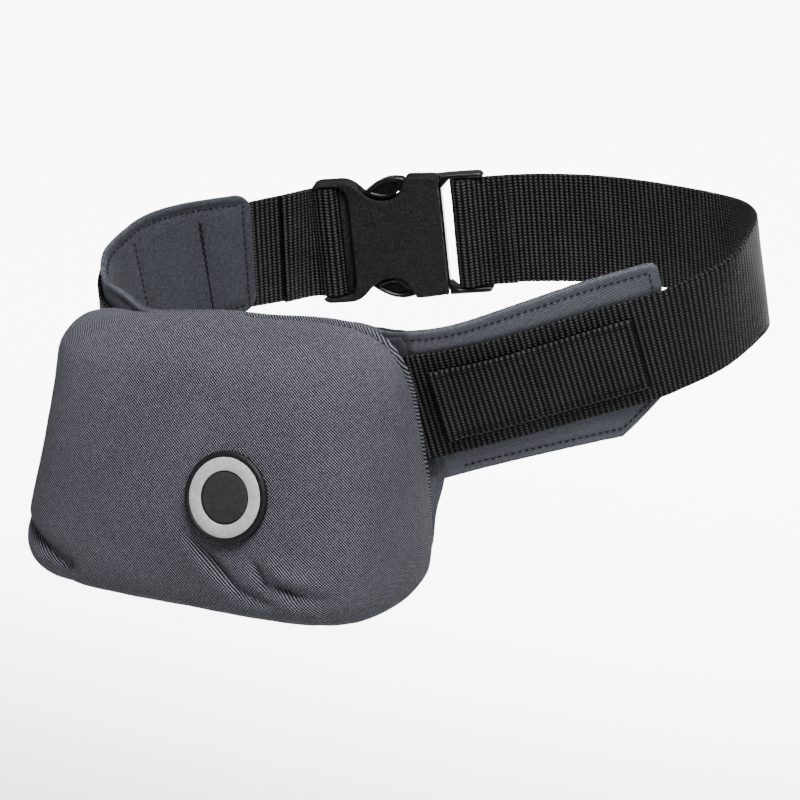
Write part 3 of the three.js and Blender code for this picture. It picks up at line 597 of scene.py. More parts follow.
def foldDepth(u, z):
    # each fold is a soft trough or roll about a line
    across, down = u / pouch["wide"], downOf(u, z, 1)
    crown = np.maximum(0, 1 - (across / 0.47) ** 2) * np.maximum(0, 1 - ((down - 0.47) / 0.5) ** 2)
    sink = -cover["crown"] * crown
    for _, x0, d0, x1, d1, deep, wide in cover["folds"]:
        ax, az = x0 * pouch["wide"], pouchTopZ - d0 * pouch["tall"]
        dx, dz = x1 * pouch["wide"] - ax, pouchTopZ - d1 * pouch["tall"] - az
        k = np.clip(((u - ax) * dx + (z - az) * dz) / (dx * dx + dz * dz), 0, 1)
        off = np.hypot(u - ax - dx * k, z - az - dz * k) / wide
        sink = sink + deep * np.exp(-np.abs(off) ** 1.5) * (0.45 + 0.55 * np.sin(np.pi * k))
    return sink


def seatPoint(u, z, level):
    # the step down below the webbing fades away from the rim
    s, t = onBand(middle[0] + u, z)
    return wrap(s, t, lerp(coverSeat(t), webFace + belt["layGap"], smooth(level / 0.4)))


def coverPoint(v, turn, folds=True):
    u, z, level = coverRing(v, turn)
    p = seatPoint(u, z, level)
    deep = np.maximum(0, level)
    y = lerp(p[..., 1], middle[1] - faceDepth(z), deep)
    if folds:
        y = y + smooth((deep - 0.45) / 0.4) * foldDepth(u, z)
    return np.stack([p[..., 0], y, p[..., 2]], -1)


def makeCover():
    turn = np.linspace(0, 2 * np.pi, cover["turns"], endpoint=False)
    first = cover["rimRings"]
    v = np.concatenate([np.linspace(0, 1, first + 1)[:-1],
                        np.linspace(1, cover["lastRow"], cover["rings"] - first)])
    vv, tt = np.meshgrid(v, turn, indexing="ij")
    outer = coverPoint(vv, tt)
    normal = unit(np.cross(np.gradient(outer, axis=1), np.gradient(outer, axis=0)))
    normal[:, [0, -1]] = normal[:, [1, -2]]
    if np.mean(normal[-10:, :, 1]) > 0:
        normal = -normal
    # hem: the cloth is stitched down a few mm inside the right-hand and top edges
    run = np.concatenate([np.zeros((1, len(turn))),
                          np.cumsum(np.linalg.norm(np.diff(outer, axis=0), axis=-1), 0)])
    rightSide = smooth((np.cos(turn) + 0.1) / 0.3)[None]
    dip = np.exp(-((run - cover["hem"]) / cover["hemWide"]) ** 2) * cover["hemDip"]
    roll = np.exp(-((run - 1.2) / 1.6) ** 2) * cover["flangeBulge"]
    outer = outer + normal * ((roll - dip) * rightSide)[..., None]
    # slow unevenness of soft cloth
    x, z = outer[..., 0], outer[..., 2]
    wave = np.sin(x * 0.11 + z * 0.05 + 1.3) * np.sin(z * 0.13 - x * 0.03) * 0.16
    wave = wave + np.sin(x * 0.31 + z * 0.22) * np.sin(z * 0.27 + 0.8) * 0.05
    outer = outer + normal * (wave * smooth((run - 6) / 14))[..., None]
    rim = []
    thick = pouch["thick"]
    for a in (0.25, 0.5, 0.75):
        bend = np.pi * a
        back = unit(outer[0] - outer[1]) * thick / 2 * np.sin(bend)
        rim.append(outer[0] + back - normal[0] * thick * (1 - np.cos(bend)) / 2)
    innerAt = np.array(cover["innerAt"])
    inner = outer[innerAt] - normal[innerAt] * thick
    rings = np.concatenate([outer[::-1], np.array(rim), inner])
    # cloth coordinates: lengths along the unfolded cloth, summed outwards from the middle of the face
    plain = coverPoint(vv, tt, folds=False)
    facing = unit(np.cross(np.gradient(plain, axis=1), np.gradient(plain, axis=0)))
    facing = facing * np.where(np.mean(facing[-10:, :, 1]) > 0, -1, 1)
    wide, deep = cover["blurTurns"], cover["blurRings"]
    facing = sum(np.roll(facing, k, 1) for k in range(-wide, wide + 1)) / (2 * wide + 1)
    reach = np.clip(np.arange(len(v))[:, None] + np.arange(-deep, deep + 1), 0, len(v) - 1)
    facing = facing[reach].mean(1)[::-1]
    plain = plain[::-1]
    across, back, up = np.moveaxis(np.diff(plain, axis=0), -1, 0)
    turned = (facing[1:] + facing[:-1]) / 2
    runU = np.cumsum(np.concatenate([plain[:1, :, 0], across + turned[..., 0] * back]), 0)[::-1]
    runV = np.cumsum(np.concatenate([plain[:1, :, 2], up + turned[..., 2] * back]), 0)[::-1]
    order = np.concatenate([np.arange(len(v))[::-1], [0] * len(rim), innerAt])
    points = np.concatenate([rings.reshape(-1, 3), outer[-1].mean(0)[None], inner[-1].mean(0)[None]])
    uv = np.stack([runU[order], runV[order]], -1).reshape(-1, 2)
    uv = np.concatenate([uv, points[-2:, [0, 2]]]) / 1000
    piece = outwards(addPiece("pouchCover", points, fannedFaces(*rings.shape[:2]), slate, uv))
    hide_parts("pouch_cover")
    return outer, normal, run, turn


coverOuter, coverNormal, coverRun, coverTurn = makeCover()
print("pouch cover made")


def hemStitches():
    # a line at the hem's distance from the rim, down the right side and along the top edge
    keep = np.where((np.cos(coverTurn) > 0.02))[0]
    keep = keep[np.argsort(np.sin(coverTurn[keep]))[::-1]]
    line, outs = [], []
    for i in keep:
        r = coverRun[:, i]
        line.append([np.interp(cover["hem"], r, coverOuter[:, i, k]) for k in range(3)])
        outs.append([np.interp(cover["hem"], r, coverNormal[:, i, k]) for k in range(3)])
    stitchRow("cover", line, outs, hemThread)


hemStitches()

# packed bladder, hidden behind the cover

def makeBladder():
    # the CAD's own solid, with its doubled points merged
    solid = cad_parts["folded_bladder"].data
    points = [v.co * 1000 for v in solid.vertices]
    faces = [face.vertices for face in solid.polygons]
    piece = outwards(addPiece("foldedBladder", points, faces, packedCloth), merge=1e-6)
    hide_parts("folded_bladder")
    return piece


makeBladder()

# back panel with its two wings

panel = dict(reach=191, thick=3.0, crown=0.55, sew=4.2, sewDeep=0.7, sewWide=1.3, corner=4.5, leftCorner=8,
             slant=12 / 63, tackAt=23.5, braceAt=58, tackWide=2.6, rimGrow=0.008, columns=520, rows=64,
             # dips of the top line: share of the pouch's width, mm wide, mm deep
             dips=[(-0.66, 22, 3.5), (0.56, 20, 1.6)])
panelLeft = panel["reach"] * 1.026
panelFace = -webFace - belt["layGap"]
bindingAt = pouch["wide"] * 0.44


def cornerDrop(dist, r):
    d = np.clip(dist, 0, r)
    return r - np.sqrt(np.maximum(r * r - (r - d) ** 2, 0))


def panelTop(s):
    m, wide = pouch["wingMargin"], pouch["wide"]
    right = m * (1 + 0.2 * smooth((s / panel["reach"] - 0.5) * 2))
    left = m * (1 - 0.5 * smooth((-s / panelLeft - 0.72) / 0.3))
    drop = np.where(s > 0, cornerDrop(panel["reach"] - s, panel["corner"]),
                    cornerDrop(panelLeft + s, panel["leftCorner"]))
    fade = 1 - smooth((s - wide * pouch["fadeFrom"]) / 24)
    lift = pouch["rimLift"] * smooth(s / (wide * pouch["liftBy"])) * fade
    dip = sum(deep * np.exp(-((s - at * wide) / span) ** 2) for at, span, deep in panel["dips"])
    return webHalf + np.where(s > 0, right, left) + lift - dip - drop


def insideRim(s, t):
    # whether the cover's rim, a little flared at its lower sides, goes round this point of the panel
    p = wrap(s, t, 0.0)
    u = p[..., 0] - middle[0]
    down = downOf(u, p[..., 2], 0)
    top, low, square = coverRows[0, 5:]
    grow = panel["rimGrow"]
    flare = 0.03 * smooth((0.74 - down) / 0.25) + grow
    side = (ringSide(coverRows[0], down, u, grow) + flare) * pouch["wide"]
    height = (down - (top + low) / 2) / ((low - top) / 2 + grow)
    # the wing's end curls back behind the pouch without being part of it
    return (np.abs(u / side) ** square + np.abs(height) ** square < 1) & (np.abs(s) < pouch["wide"] * 0.72)


def panelLow(s):
    m = pouch["wingMargin"]
    chamfer = np.clip((s - panel["reach"] * 0.87) / (panel["reach"] * 0.13), 0, 1)
    right = -webHalf - m * (1 + 0.25 * smooth((s / panel["reach"] - 0.5) * 2)) * (1 - chamfer) - 0.4
    taper = 1 - 0.95 * smooth((-s / panelLeft - 0.5) * 2)
    left = -webHalf - m * taper + cornerDrop(panelLeft + s, panel["leftCorner"])
    wing = np.where(s > 0, right, left)
    hi, lo = wing.copy(), np.full_like(wing, -webHalf - pouch["tall"])
    for _ in range(26):
        mid = (lo + hi) / 2
        inside = insideRim(s, mid)
        hi, lo = np.where(inside, mid, hi), np.where(inside, lo, mid)
    return np.where(insideRim(s, wing), hi, wing)


def panelStations(count):
    # closer together near both ends and at the sides of the hanging part
    edge, curl, bend = pouch["wide"] * 0.53, 8, 26
    ends = curl * (1 - np.cos(np.linspace(0, np.pi / 2, 10)))
    # ends of each run and its share of the columns
    runs = [(-panelLeft + curl, -edge, 0.2), (-edge, -edge + bend, 0.15),
            (-edge + bend, edge - bend, 0.22),
            (edge - bend, edge, 0.15), (edge, panel["reach"] - curl, 0.2)]
    parts = [np.linspace(start, end, int(count * share))[:-1] for start, end, share in runs]
    return np.concatenate([-panelLeft + ends[:-1], *parts, panel["reach"] - ends[::-1]])


def panelShear(s, t):
    lean = smooth((s / panel["reach"] - 0.75) * 4) * panel["slant"] * np.clip(t, -webHalf, webHalf)
    return np.where(s > 0, lean, 0)


def makePanel():
    s = panelStations(panel["columns"])
    top, low = panelTop(s), panelLow(s)
    f = (1 - np.cos(np.linspace(0, np.pi, panel["rows"]))) / 2
    f = 0.5 * f + 0.5 * np.linspace(0, 1, panel["rows"])
    ss, ff = np.meshgrid(s, f, indexing="ij")
    tt = lerp(low[:, None], top[:, None], ff)
    # distance to the nearest edge, for the rounded border and the perimeter seam
    slope = np.gradient(low, s)
    toLow = (tt - low[:, None]) / np.sqrt(1 + np.clip(slope, -3, 3) ** 2)[:, None]
    toEdge = np.minimum(np.minimum(top[:, None] - tt, toLow),
                        np.minimum(ss + panelLeft, panel["reach"] - ss))
    toEdge = np.maximum(toEdge, 0)
    seam = np.exp(-((toEdge - panel["sew"]) / panel["sewWide"]) ** 2) * panel["sewDeep"]
    r = panel["thick"] / 2
    rim = np.sqrt(np.maximum(0, 1 - (1 - np.clip(toEdge / r, 0, 1)) ** 2))
    # padding is full between the border seams, thinner under the webbing
    pad = panel["crown"] * smooth((toEdge - panel["sew"]) / 7)
    press = np.clip(1 - np.maximum(0, np.abs(ss - bindingAt) - 5) / 3, 0, 1) * np.where(ss > 0, 1.3, 0)
    under = smooth((webHalf + 1.5 - np.abs(tt)) / 3)
    front = panelFace - r * (1 - rim) - seam * 0.5 - np.maximum(press, under * 0.2)
    front = front + pad * (1 - under) * 0.4
    # rows sewn through the left wing pull its padding in
    fromEnd, wide = ss + panelLeft, panel["tackWide"]
    tack = sum(np.exp(-((fromEnd - panel[at]) / wide) ** 2) for at in ("tackAt", "braceAt"))
    back = panelFace - panel["thick"] + r * (1 - rim) + seam
    back = back - pad * 0.7 * (1 - tack) + 0.15 * tack * rim
    points = [wrap(ss + panelShear(ss, tt), tt, o).reshape(-1, 3) for o in (front, back)]
    cols, rows = ss.shape
    faces = gridFaces(cols, rows)
    count = cols * rows
    faces += [[v + count for v in face[::-1]] for face in faces]
    idx = np.arange(count).reshape(cols, rows)
    loop = np.concatenate([idx[:, 0], idx[-1, 1:], idx[::-1, -1][1:], idx[0, ::-1][1:-1]])
    nxt = np.roll(loop, -1)
    faces += np.stack([loop, nxt, nxt + count, loop + count], -1).tolist()
    uv = np.stack([ss, tt], -1).reshape(-1, 2) / 1000
    # the front faces get 1 and the back faces 0, so the cloth paints the front paler in place of the shade on
    # the back
    piece = addPiece("backPanel", np.concatenate(points), faces, darkSlate,
                     np.concatenate([uv, uv]), dict(outerFace=np.repeat([1.0, 0.0], count)))
    outwards(piece, merge=2e-6)
    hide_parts("back_panel")
    return piece


makePanel()
print("back panel made")


def onPanel(s, t, face):
    # points just outside the panel's front (1) or back (-1), and the way they face
    o = panelFace + 0.1 if face > 0 else panelFace - panel["thick"] - 0.1
    return wrap(s + panelShear(s, t), t, o), frameAt(s)[3] * face


def panelLine(side, inset, sFrom, sTo, face):
    s = np.linspace(sFrom, sTo, 240)
    return onPanel(s, panelTop(s) - inset if side == "top" else panelLow(s) + inset, face)


def crossLine(s, tFrom, tTo, face):
    t = np.linspace(tFrom, tTo, 80)
    return onPanel(np.full_like(t, s), t, face)


sew = panel["sew"]
reach = panel["reach"]
edgeS = pouch["wide"] * 0.5
for name, lines in dict(
    wingFrontTop=panelLine("top", sew, edgeS - 6, reach - sew, 1),
    wingFrontLow=panelLine("low", sew, edgeS + 4, reach - sew - 3, 1),
    wingFrontEnd=crossLine(reach - sew, -webHalf - 1, panelTop(np.array([reach - sew]))[0] - sew, 1),
    wingBackTop=panelLine("top", sew, -panelLeft + sew + 2, reach - sew, -1),
    leftBackLow=panelLine("low", sew, -panelLeft + sew + 2, -edgeS - 2, -1),
    rightBackLow=panelLine("low", sew, edgeS + 4, reach - sew - 3, -1),
    leftBackEnd=crossLine(-panelLeft + sew, -webHalf + 2, webHalf + 1.5, -1),
).items():
    stitchRow(name, *lines, wingThread)

# zigzag tack: one stitch from each turn to the next
tack = dict(turns=32, half=1.0, inset=2, thick=0.75)
tackT = np.linspace(-webHalf + tack["inset"], webHalf - tack["inset"], tack["turns"])
tackS = panel["tackAt"] - panelLeft + tack["half"] * np.where(np.arange(tack["turns"]) % 2, 1, -1)
tackStep = math.hypot(tackT[1] - tackT[0], 2 * tack["half"])
stitchRow("bartack", *onPanel(tackS, tackT, -1),
          dict(wingThread, pitch=tackStep * 0.999, long=tackStep * 0.95, thick=tack["thick"]))
stitchRow("leftBrace", *crossLine(panel["braceAt"] - panelLeft, -webHalf - 2, webHalf + 2, -1), wingThread)

# waist webbing with folded ends

web = dict(flapRight=22, flapLeft=27, ramp=9, step=1.6, across=26, sewIn=2.2, sewnRight=(-13, -17.5),
           sewnLeft=(15, 20), buckleShare=0.533)
barIn, barOut, barRound = -27.8, 34.5, 6  # the two bars' places along the buckle, and their diameter
bucklePlace = lerp(placeOf["buckleRight"], placeOf["buckleLeft"], web["buckleShare"])
foldGap = belt["webThick"] + belt["fitGap"]
loopRound = barRound / 2 + belt["layGap"] + webFace


def webRun():
    # the webbing's own line in s and o, from one folded end to the other
    right, left = bucklePlace + barIn, bucklePlace + barOut - pathTotal
    centre = -foldGap / 2

    def swell(dist):
        return centre + foldGap / 2 + (loopRound - foldGap / 2) * smooth(1 - dist / web["ramp"])

    def fold(bar, way, flap):
        d1 = np.linspace(flap, 0, 22)
        first = np.stack([bar + way * d1, 2 * centre - swell(d1)], -1)
        a = np.linspace(0, np.pi, 19)[1:-1]
        turn = np.stack([bar - way * loopRound * np.sin(a), centre - loopRound * np.cos(a)], -1)
        d2 = np.linspace(0, web["ramp"], 9)
        last = np.stack([bar + way * d2, swell(d2)], -1)
        return np.concatenate([first, turn, last])

    start, end = fold(left, 1, web["flapLeft"]), fold(right, -1, web["flapRight"])[::-1]
    count = int((end[0, 0] - start[-1, 0]) / web["step"])
    mid = np.linspace(start[-1, 0], end[0, 0], count)[1:-1]
    return np.concatenate([start, np.stack([mid, np.zeros_like(mid)], -1), end])


def roundedSection(half, thick, count):
    # closed outline of a flat strap: two faces joined by rounded edges
    r = thick / 2
    q = np.linspace(-half + r, half - r, count)
    a = np.linspace(-np.pi / 2, np.pi / 2, 7)[1:-1]
    up = np.stack([half - r + r * np.cos(a), r * np.sin(a)], -1)
    down = np.stack([-half + r - r * np.cos(a), -r * np.sin(a)], -1)
    low = np.stack([q, np.full_like(q, -r)], -1)
    high = np.stack([q[::-1], np.full_like(q, r)], -1)
    return np.concatenate([low, up, high, down])


def strapMesh(name, run, half, thick, extra, count):
    # the section carried along a line given in s and o
    step = np.gradient(run, axis=0)
    normal = np.stack([-step[:, 1], step[:, 0]], -1)
    normal = normal / np.linalg.norm(normal, axis=1, keepdims=True)
    length = runOf(run)
    section = roundedSection(half, thick, count)
    t, h = (np.broadcast_to(section[:, k], (len(run), len(section))) for k in (0, 1))
    rise = h + extra(length[:, None], t, h)
    points = wrap(run[:, :1] + normal[:, :1] * rise, t, run[:, 1:] + normal[:, 1:] * rise)
    uv = np.stack([np.broadcast_to(length[:, None], t.shape) / 1000, t / 1000 + h * 0.0015], -1)
    return outwards(addPiece(name, points, tubeFaces(*t.shape), webLook, uv)), length


def makeWebbing():
    run = webRun()
    piece, length = strapMesh("waistWebbing", run, webHalf, belt["webThick"],
                              lambda l, t, h: 0.12 * np.sin(l * 0.09) * np.sin(t * 0.12), web["across"])
    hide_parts("waist_webbing")
    print("webbing length", round(float(length[-1]), 1))


makeWebbing()

# sewn zones of the webbing: lines across, at both folded ends

def webLine(s, face):
    t = np.linspace(-webHalf + web["sewIn"], webHalf - web["sewIn"], 60)
    o = webFace + 0.05 if face > 0 else -foldGap - webFace - 0.05
    ss = np.full_like(t, s)
    return wrap(ss, t, o), frameAt(ss)[3] * face


folds = ((bucklePlace + barIn, web["sewnRight"]), (bucklePlace + barOut, web["sewnLeft"]))
for k, (s, face) in enumerate((fold + at, face) for fold, sewn in folds for face in (-1, 1) for at in sewn):
    stitchRow("webEnd%d" % k, *webLine(s, face), webThread)

# doubled webbing sewn on the outside, with a raised fold at its start

patch = dict(long=89, wide=35, thick=1.6, seam=0.48, seamHalf=2.6, fold=1.2, dip=0.7, sewIn=2.6)
patchFrom = pouch["wide"] * 0.51


def makePatch():
    length = np.linspace(0, patch["long"], 90)
    rise = patch["fold"] * smooth(1 - (length - 3) / 5)
    dip = patch["dip"] * np.clip(1 - np.abs(length - patch["long"] * patch["seam"]) / 3, 0, 1)
    mid = webFace + belt["layGap"] + patch["thick"] / 2 + rise - dip
    run = np.stack([patchFrom + length, mid], -1)

    def sewn(l, t, h):
        edge = np.minimum(patch["wide"] / 2 - np.abs(t), np.minimum(l, patch["long"] - l))
        return -0.35 * np.exp(-(edge - patch["sewIn"]) ** 2) * (h > 0)

    piece, _ = strapMesh("webbingPatch", run, patch["wide"] / 2, patch["thick"], sewn, 30)
    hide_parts("webbing_patch")
    half = patch["wide"] / 2 - patch["sewIn"]
    top = webFace + belt["layGap"] + patch["thick"] + 0.02
    s = np.linspace(patchFrom + 3, patchFrom + patch["long"] - 3, 60)
    lift = np.interp(s - patchFrom, length, rise - dip)
    for name, t in (("patchTop", half), ("patchLow", -half)):
        stitchRow(name, wrap(s, t, top + lift - 0.2), frameAt(s)[3], webThread)
    t = np.linspace(-half, half, 40)
    seam = patch["long"] * patch["seam"]
    for k, at in enumerate((5, seam - patch["seamHalf"], seam + patch["seamHalf"], patch["long"] - 3)):
        up = float(np.interp(at, length, rise - dip))
        stitchRow("patchCross%d" % k, wrap(patchFrom + at, t, top + up - 0.1),
                  frameAt(np.full_like(t, patchFrom + at))[3], webThread)


makePatch()


# binding of the slot behind the webbing

binding = dict(wide=8.0, thick=0.7, over=8.0, sink=0.3)


def makeBinding():
    reach = webHalf + binding["over"]
    t = np.linspace(-reach, reach, 70)[:, None]
    section = roundedSection(binding["wide"] / 2, binding["thick"], 10)
    tt, ss = t + 0 * section[:, 0], bindingAt + section[:, 0] + 0 * t
    points = wrap(ss, tt, panelFace - binding["sink"] + section[:, 1] + 0 * t)
    piece = outwards(addPiece("slotBinding", points, tubeFaces(*tt.shape), darkSlate,
                              np.stack([ss, tt], -1) / 1000))
    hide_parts("slot_binding")


makeBinding()
print("straps made")


# buckle: outlines in p (along) and q (up the band) given as smooth tables, laid in r (thickness)

buckle = dict(mouth=-17.7, half=6.0, room=3.5, waist=5.2, railHalf=4.4, edge=0.8)
# outer edge of the socket from the mouth to the rail's end, then back inside to the slot
socketEdge = [(-17.7, 0), (-17.7, 25.6), (-17.2, 27.2), (-15, 27.8), (-9, 28.2), (-4.2, 28.4),
              (-2.4, 27.6), (-1.2, 25),
              (0.6, 21.6), (3.2, 19.3), (7, 18.3), (11, 18.6), (14.5, 20), (17.8, 22.6), (20.6, 25.4),
              (23.4, 27.4),
              (26.8, 28.5), (32, 28.6), (37.4, 28.5), (39.8, 27.6), (40.5, 26.4), (39.8, 25.8), (35, 25.8),
              (30.2, 25.8), (27.6, 25.1), (25.6, 22.8), (24.8, 19), (24.6, 10), (24.6, 0)]
railEdge = [(20.6, 24.9), (23.4, 26.9), (26.8, 28.0), (32, 28.2), (37, 28.1), (39.4, 27.4),
            (39.9, 26.5), (39.4, 26.1),
            (35, 26.1), (30.2, 26.1), (26.9, 25.3), (24.4, 22.6), (22, 20), (20, 21)]
leafEdge = [(-2.2, 25.4), (-2.0, 27.4), (0.4, 28.3), (4.4, 28.5), (8.6, 27.5), (12.6, 25.6), (16, 23.2),
            (17.4, 21.7),
            (14.6, 20.3), (11.4, 19.2), (7, 18.7), (3.8, 19.6), (1.1, 22.0), (-1.2, 24.4)]
insertEdge = [(-37.8, 25.9), (-37.8, 27.2), (-36.8, 28.1), (-34, 28.3), (-22, 28.3), (-18.6, 28.2),
              (-18.3, 27.4),
              (-18.3, 23.2), (-18.9, 22.4), (-19.6, 22.7), (-22.3, 25.4), (-23.6, 25.9), (-30, 25.9)]
seatAt = frameAt(np.array(bucklePlace))
seatMiddle = seatAt[0] - seatAt[3] * foldGap / 2


def onBuckle(p, q, r):
    return seatMiddle + seatAt[1] * p[..., None] + seatAt[2] * q[..., None] + seatAt[3] * r[..., None]


def smoothOutline(table, per=4, closed=True):
    # a curve through the table, four points to each span
    a = np.array(table, float)
    n = len(a)
    k, f = np.divmod(np.arange(n * per if closed else (n - 1) * per + 1), per)
    f = (f / per)[:, None]
    at = (lambda i: a[i % n]) if closed else (lambda i: a[np.clip(i, 0, n - 1)])
    return splineAt(at(k - 1), at(k), at(k + 1), at(k + 2), f)


def mirrored(table):
    # an upper half joined to its mirror below the middle line
    upper = smoothOutline(table, closed=False)
    return np.concatenate([upper, (upper * [1, -1])[::-1][1:-1]])


def plate(outline, r0, r1, edge, hole=None):
    # a flat curve filled, thickened and rounded at its edges; gives points in p, q, r and faces
    curve = bpy.data.curves.new("plate", "CURVE")
    curve.dimensions, curve.fill_mode = "2D", "BOTH"
    curve.extrude, curve.bevel_depth, curve.bevel_resolution = (r1 - r0) / 2 - edge, edge, 3
    curve.offset = -edge
    for line in (outline, hole):
        if line is None:
            continue
        spline = curve.splines.new("POLY")
        spline.points.add(len(line) - 1)
        corners = np.column_stack([line, np.zeros(len(line)), np.ones(len(line))])
        spline.points.foreach_set("co", corners.ravel())
        spline.use_cyclic_u = True
    holder = bpy.data.objects.new("plate", curve)
    mesh = bmesh.new()
    mesh.from_mesh(bpy.data.meshes.new_from_object(holder))
    bmesh.ops.remove_doubles(mesh, verts=mesh.verts, dist=1e-3)
    points = np.array([v.co[:] for v in mesh.verts])
    points[:, 2] += (r0 + r1) / 2
    faces = [[v.index for v in face.verts] for face in mesh.faces]
    mesh.free()
    bpy.data.objects.remove(holder)
    bpy.data.curves.remove(curve)
    return points, faces


def box3(p0, p1, q0, q1, r0, r1, edge=0.3):
    return plate([(p0, q0), (p1, q0), (p1, q1), (p0, q1)], r0, r1, edge)


def rod(p, half, radius, turns=28):
    a = np.linspace(0, 2 * np.pi, turns, endpoint=False)
    ring = np.stack([p + radius * np.cos(a), 0 * a, radius * np.sin(a)], -1)
    return np.concatenate([ring + [0, -half, 0], ring + [0, half, 0]]), tubeFaces(2, turns)


def slotWall(p=24.2, half=24.6):
    # closes the slot beside the webbing's loop: its end follows the loop at a small gap
    a = np.radians(np.linspace(192, 124, 12))
    r = loopRound + webFace + 0.35
    arc = np.stack([barOut + r * np.cos(a), r * np.sin(a)], -1)
    line = np.concatenate([[[p, arc[0, 1]]], arc, [[p, arc[-1, 1]]]])
    points = [np.column_stack([line[:, 0], np.full(len(line), q), line[:, 1]]) for q in (-half, half)]
    return np.concatenate(points), tubeFaces(2, len(line))


def thinned(points):
    # thickness falls from the mouth to the rails
    p = points[:, 0]
    half = lerp(buckle["half"], buckle["waist"], smooth((p + 6) / 10))
    half = lerp(half, buckle["railHalf"], smooth((p - 19) / 9))
    crown = 1 + 0.04 * (1 - np.clip(points[:, 1] / 28, -1, 1) ** 2)
    points = points.copy()
    points[:, 2] *= half / buckle["half"] * crown
    return points


def flipped(part):
    points, faces = part
    return points * [1, -1, 1], faces


def bucklePiece(name, parts, material, node):
    points, faces, start = [], [], 0
    for at, polygons in parts:
        points.append(at)
        faces += [[v + start for v in polygon] for polygon in polygons]
        start += len(at)
    at = np.concatenate(points)
    piece = outwards(addPiece(name, onBuckle(at[:, 0], at[:, 1], at[:, 2]), faces, material))
    tool = piece.modifiers.new("flatFaces", "WEIGHTED_NORMAL")
    tool.keep_sharp = False
    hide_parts(node)
    return piece


def makeBuckle():
    h, room, edge = buckle["half"], buckle["room"], buckle["edge"]
    face = mirrored(socketEdge)
    parts = [plate(face, -h, -room, edge), plate(face, room, h, edge)]
    for part in (plate(smoothOutline(railEdge), -room - 0.6, room + 0.6, 0.5),
                 box3(buckle["mouth"] + 0.5, -3.4, 24.2, 27.4, -room - 0.4, room + 0.4)):
        parts += [part, flipped(part)]
    parts.append(box3(21.5, 24.3, -20, 20, -room - 0.4, room + 0.4))
    parts = [(thinned(points), faces) for points, faces in parts]
    parts += [slotWall(), rod(barOut, 26.2, barRound / 2)]
    bucklePiece("buckleSocket", parts, plastic, "buckle_socket")
    leaf = smoothOutline(leafEdge)
    hub = leaf.mean(0)
    hollow = hub + (leaf - hub) * [0.66, 0.6]
    rim = plate(leaf, -2.9, 2.9, 0.6, hollow[::-1])
    floor = plate(leaf, -1.4, 1.4, 0.3)
    post = box3(0.6, 1.5, 21.8, 26.4, -2.2, 2.2)
    link = box3(-16.6, 0.6, 20.6, 23.2, -2.4, 2.4)
    frameRail = plate(smoothOutline(insertEdge), -3.9, 3.9, 0.9)
    parts = [rod(barIn, 26.2, barRound / 2), box3(-18.6, -14, -23, 23, -2.6, 2.6),
             box3(-14.2, 10, -3.4, 3.4, -2.4, 2.4)]
    for part in (rim, floor, post, link, frameRail):
        parts += [part, flipped(part)]
    bucklePiece("buckleInsert", parts, glossPlastic, "buckle_insert")


makeBuckle()

# badge: turned profiles laid on the cover's face

badge = dict(wide=40, thick=1.6, across=0.118, down=0.54, turns=128)


def faceLevel(u, z):
    # the level whose ring goes through a point of the face, found by halving
    down = downOf(u, z, 1)
    lo, hi = np.full_like(u, 2.5), np.full_like(u, 8.0)
    for _ in range(30):
        v = (lo + hi) / 2
        row = coverRow(v)
        top, low, square = (row[..., k] for k in (5, 6, 7))
        a = np.abs(u / (np.maximum(ringSide(row, down, u), 1e-4) * pouch["wide"])) ** square
        b = np.abs((down - (top + low) / 2) / np.maximum((low - top) / 2, 1e-4)) ** square
        lo, hi = np.where(a + b < 1, v, lo), np.where(a + b < 1, hi, v)
    return coverRow(lo)[..., 0]


def facePoint(u, z):
    p = seatPoint(u, z, 1.0)
    y = lerp(p[..., 1], middle[1] - faceDepth(z), faceLevel(u, z)) + foldDepth(u, z)
    return np.stack([p[..., 0], y, p[..., 2]], -1)


def badgeFrame():
    u0, z0 = badge["across"] * pouch["wide"], pouchTopZ - badge["down"] * pouch["tall"]
    u = np.array([u0, u0 + 12, u0 - 12, u0, u0])
    z = np.array([z0, z0, z0, z0 + 12, z0 - 12])
    p = facePoint(u, z)
    side, up = unit(p[1] - p[2]), unit(p[3] - p[4])
    return p[0], side, up, unit(np.cross(side, up))


badgeHub, badgeSide, badgeUp, badgeOut = badgeFrame()


badgeHalf = badge["wide"] / 2
badgeLid = belt["layGap"] + 0.2 + badge["thick"]
# profiles: share of the badge's half width, mm taken off that, mm over its lid
baseRows = [(0.3, 0, 0), (0.56, 0, 0), (0.6, 0, 0), (1, 2.75, 0), (1, 2.5, 0.1), (1, 2.3, 0.55),
            (1, 2, 0.85), (1, 1.4, 0.98), (1, 0.8, 0.85), (1, 0.3, 0.45), (1, 0, -0.2),
            (1, 0, 0.2 - badge["thick"]), (1, 0.4, -badge["thick"]), (0.5, 0, -badge["thick"])]
ringRows = [(1, 2.75, 0.32), (1, 2.65, 0.62), (1, 2.85, 0.74), (0.6, 0, 0.74), (0.585, 0, 0.62),
            (0.58, 0, 0.32)]
middleRows = [(0.2, 0, 0.42), (0.5, 0, 0.42), (0.545, 0, 0.36), (0.56, 0, 0.1), (0.5, 0, 0.02)]


def turnedPiece(name, rows, material, closed):
    # a profile turned about the badge's middle, following the face
    share, inset, over = np.array(rows, float).T
    high = badgeLid + over
    a = np.linspace(0, 2 * np.pi, badge["turns"], endpoint=False)
    rr, aa = np.meshgrid(badgeHalf * share - inset, a, indexing="ij")
    p = badgeHub + badgeSide * (rr * np.cos(aa))[..., None] + badgeUp * (rr * np.sin(aa))[..., None]
    face = facePoint(p[..., 0] - middle[0], p[..., 2])
    points = (face + badgeOut * high[:, None, None]).reshape(-1, 3)
    if closed:
        faces = gridFaces(*rr.shape, closedCols=True, closedRows=True)
    else:
        faces = fannedFaces(*rr.shape)
        hub = facePoint(badgeHub[:1] - middle[0], badgeHub[2:])
        points = np.concatenate([points, hub + badgeOut * high[0], hub + badgeOut * high[-1]])
    return outwards(addPiece(name, points, faces, material))


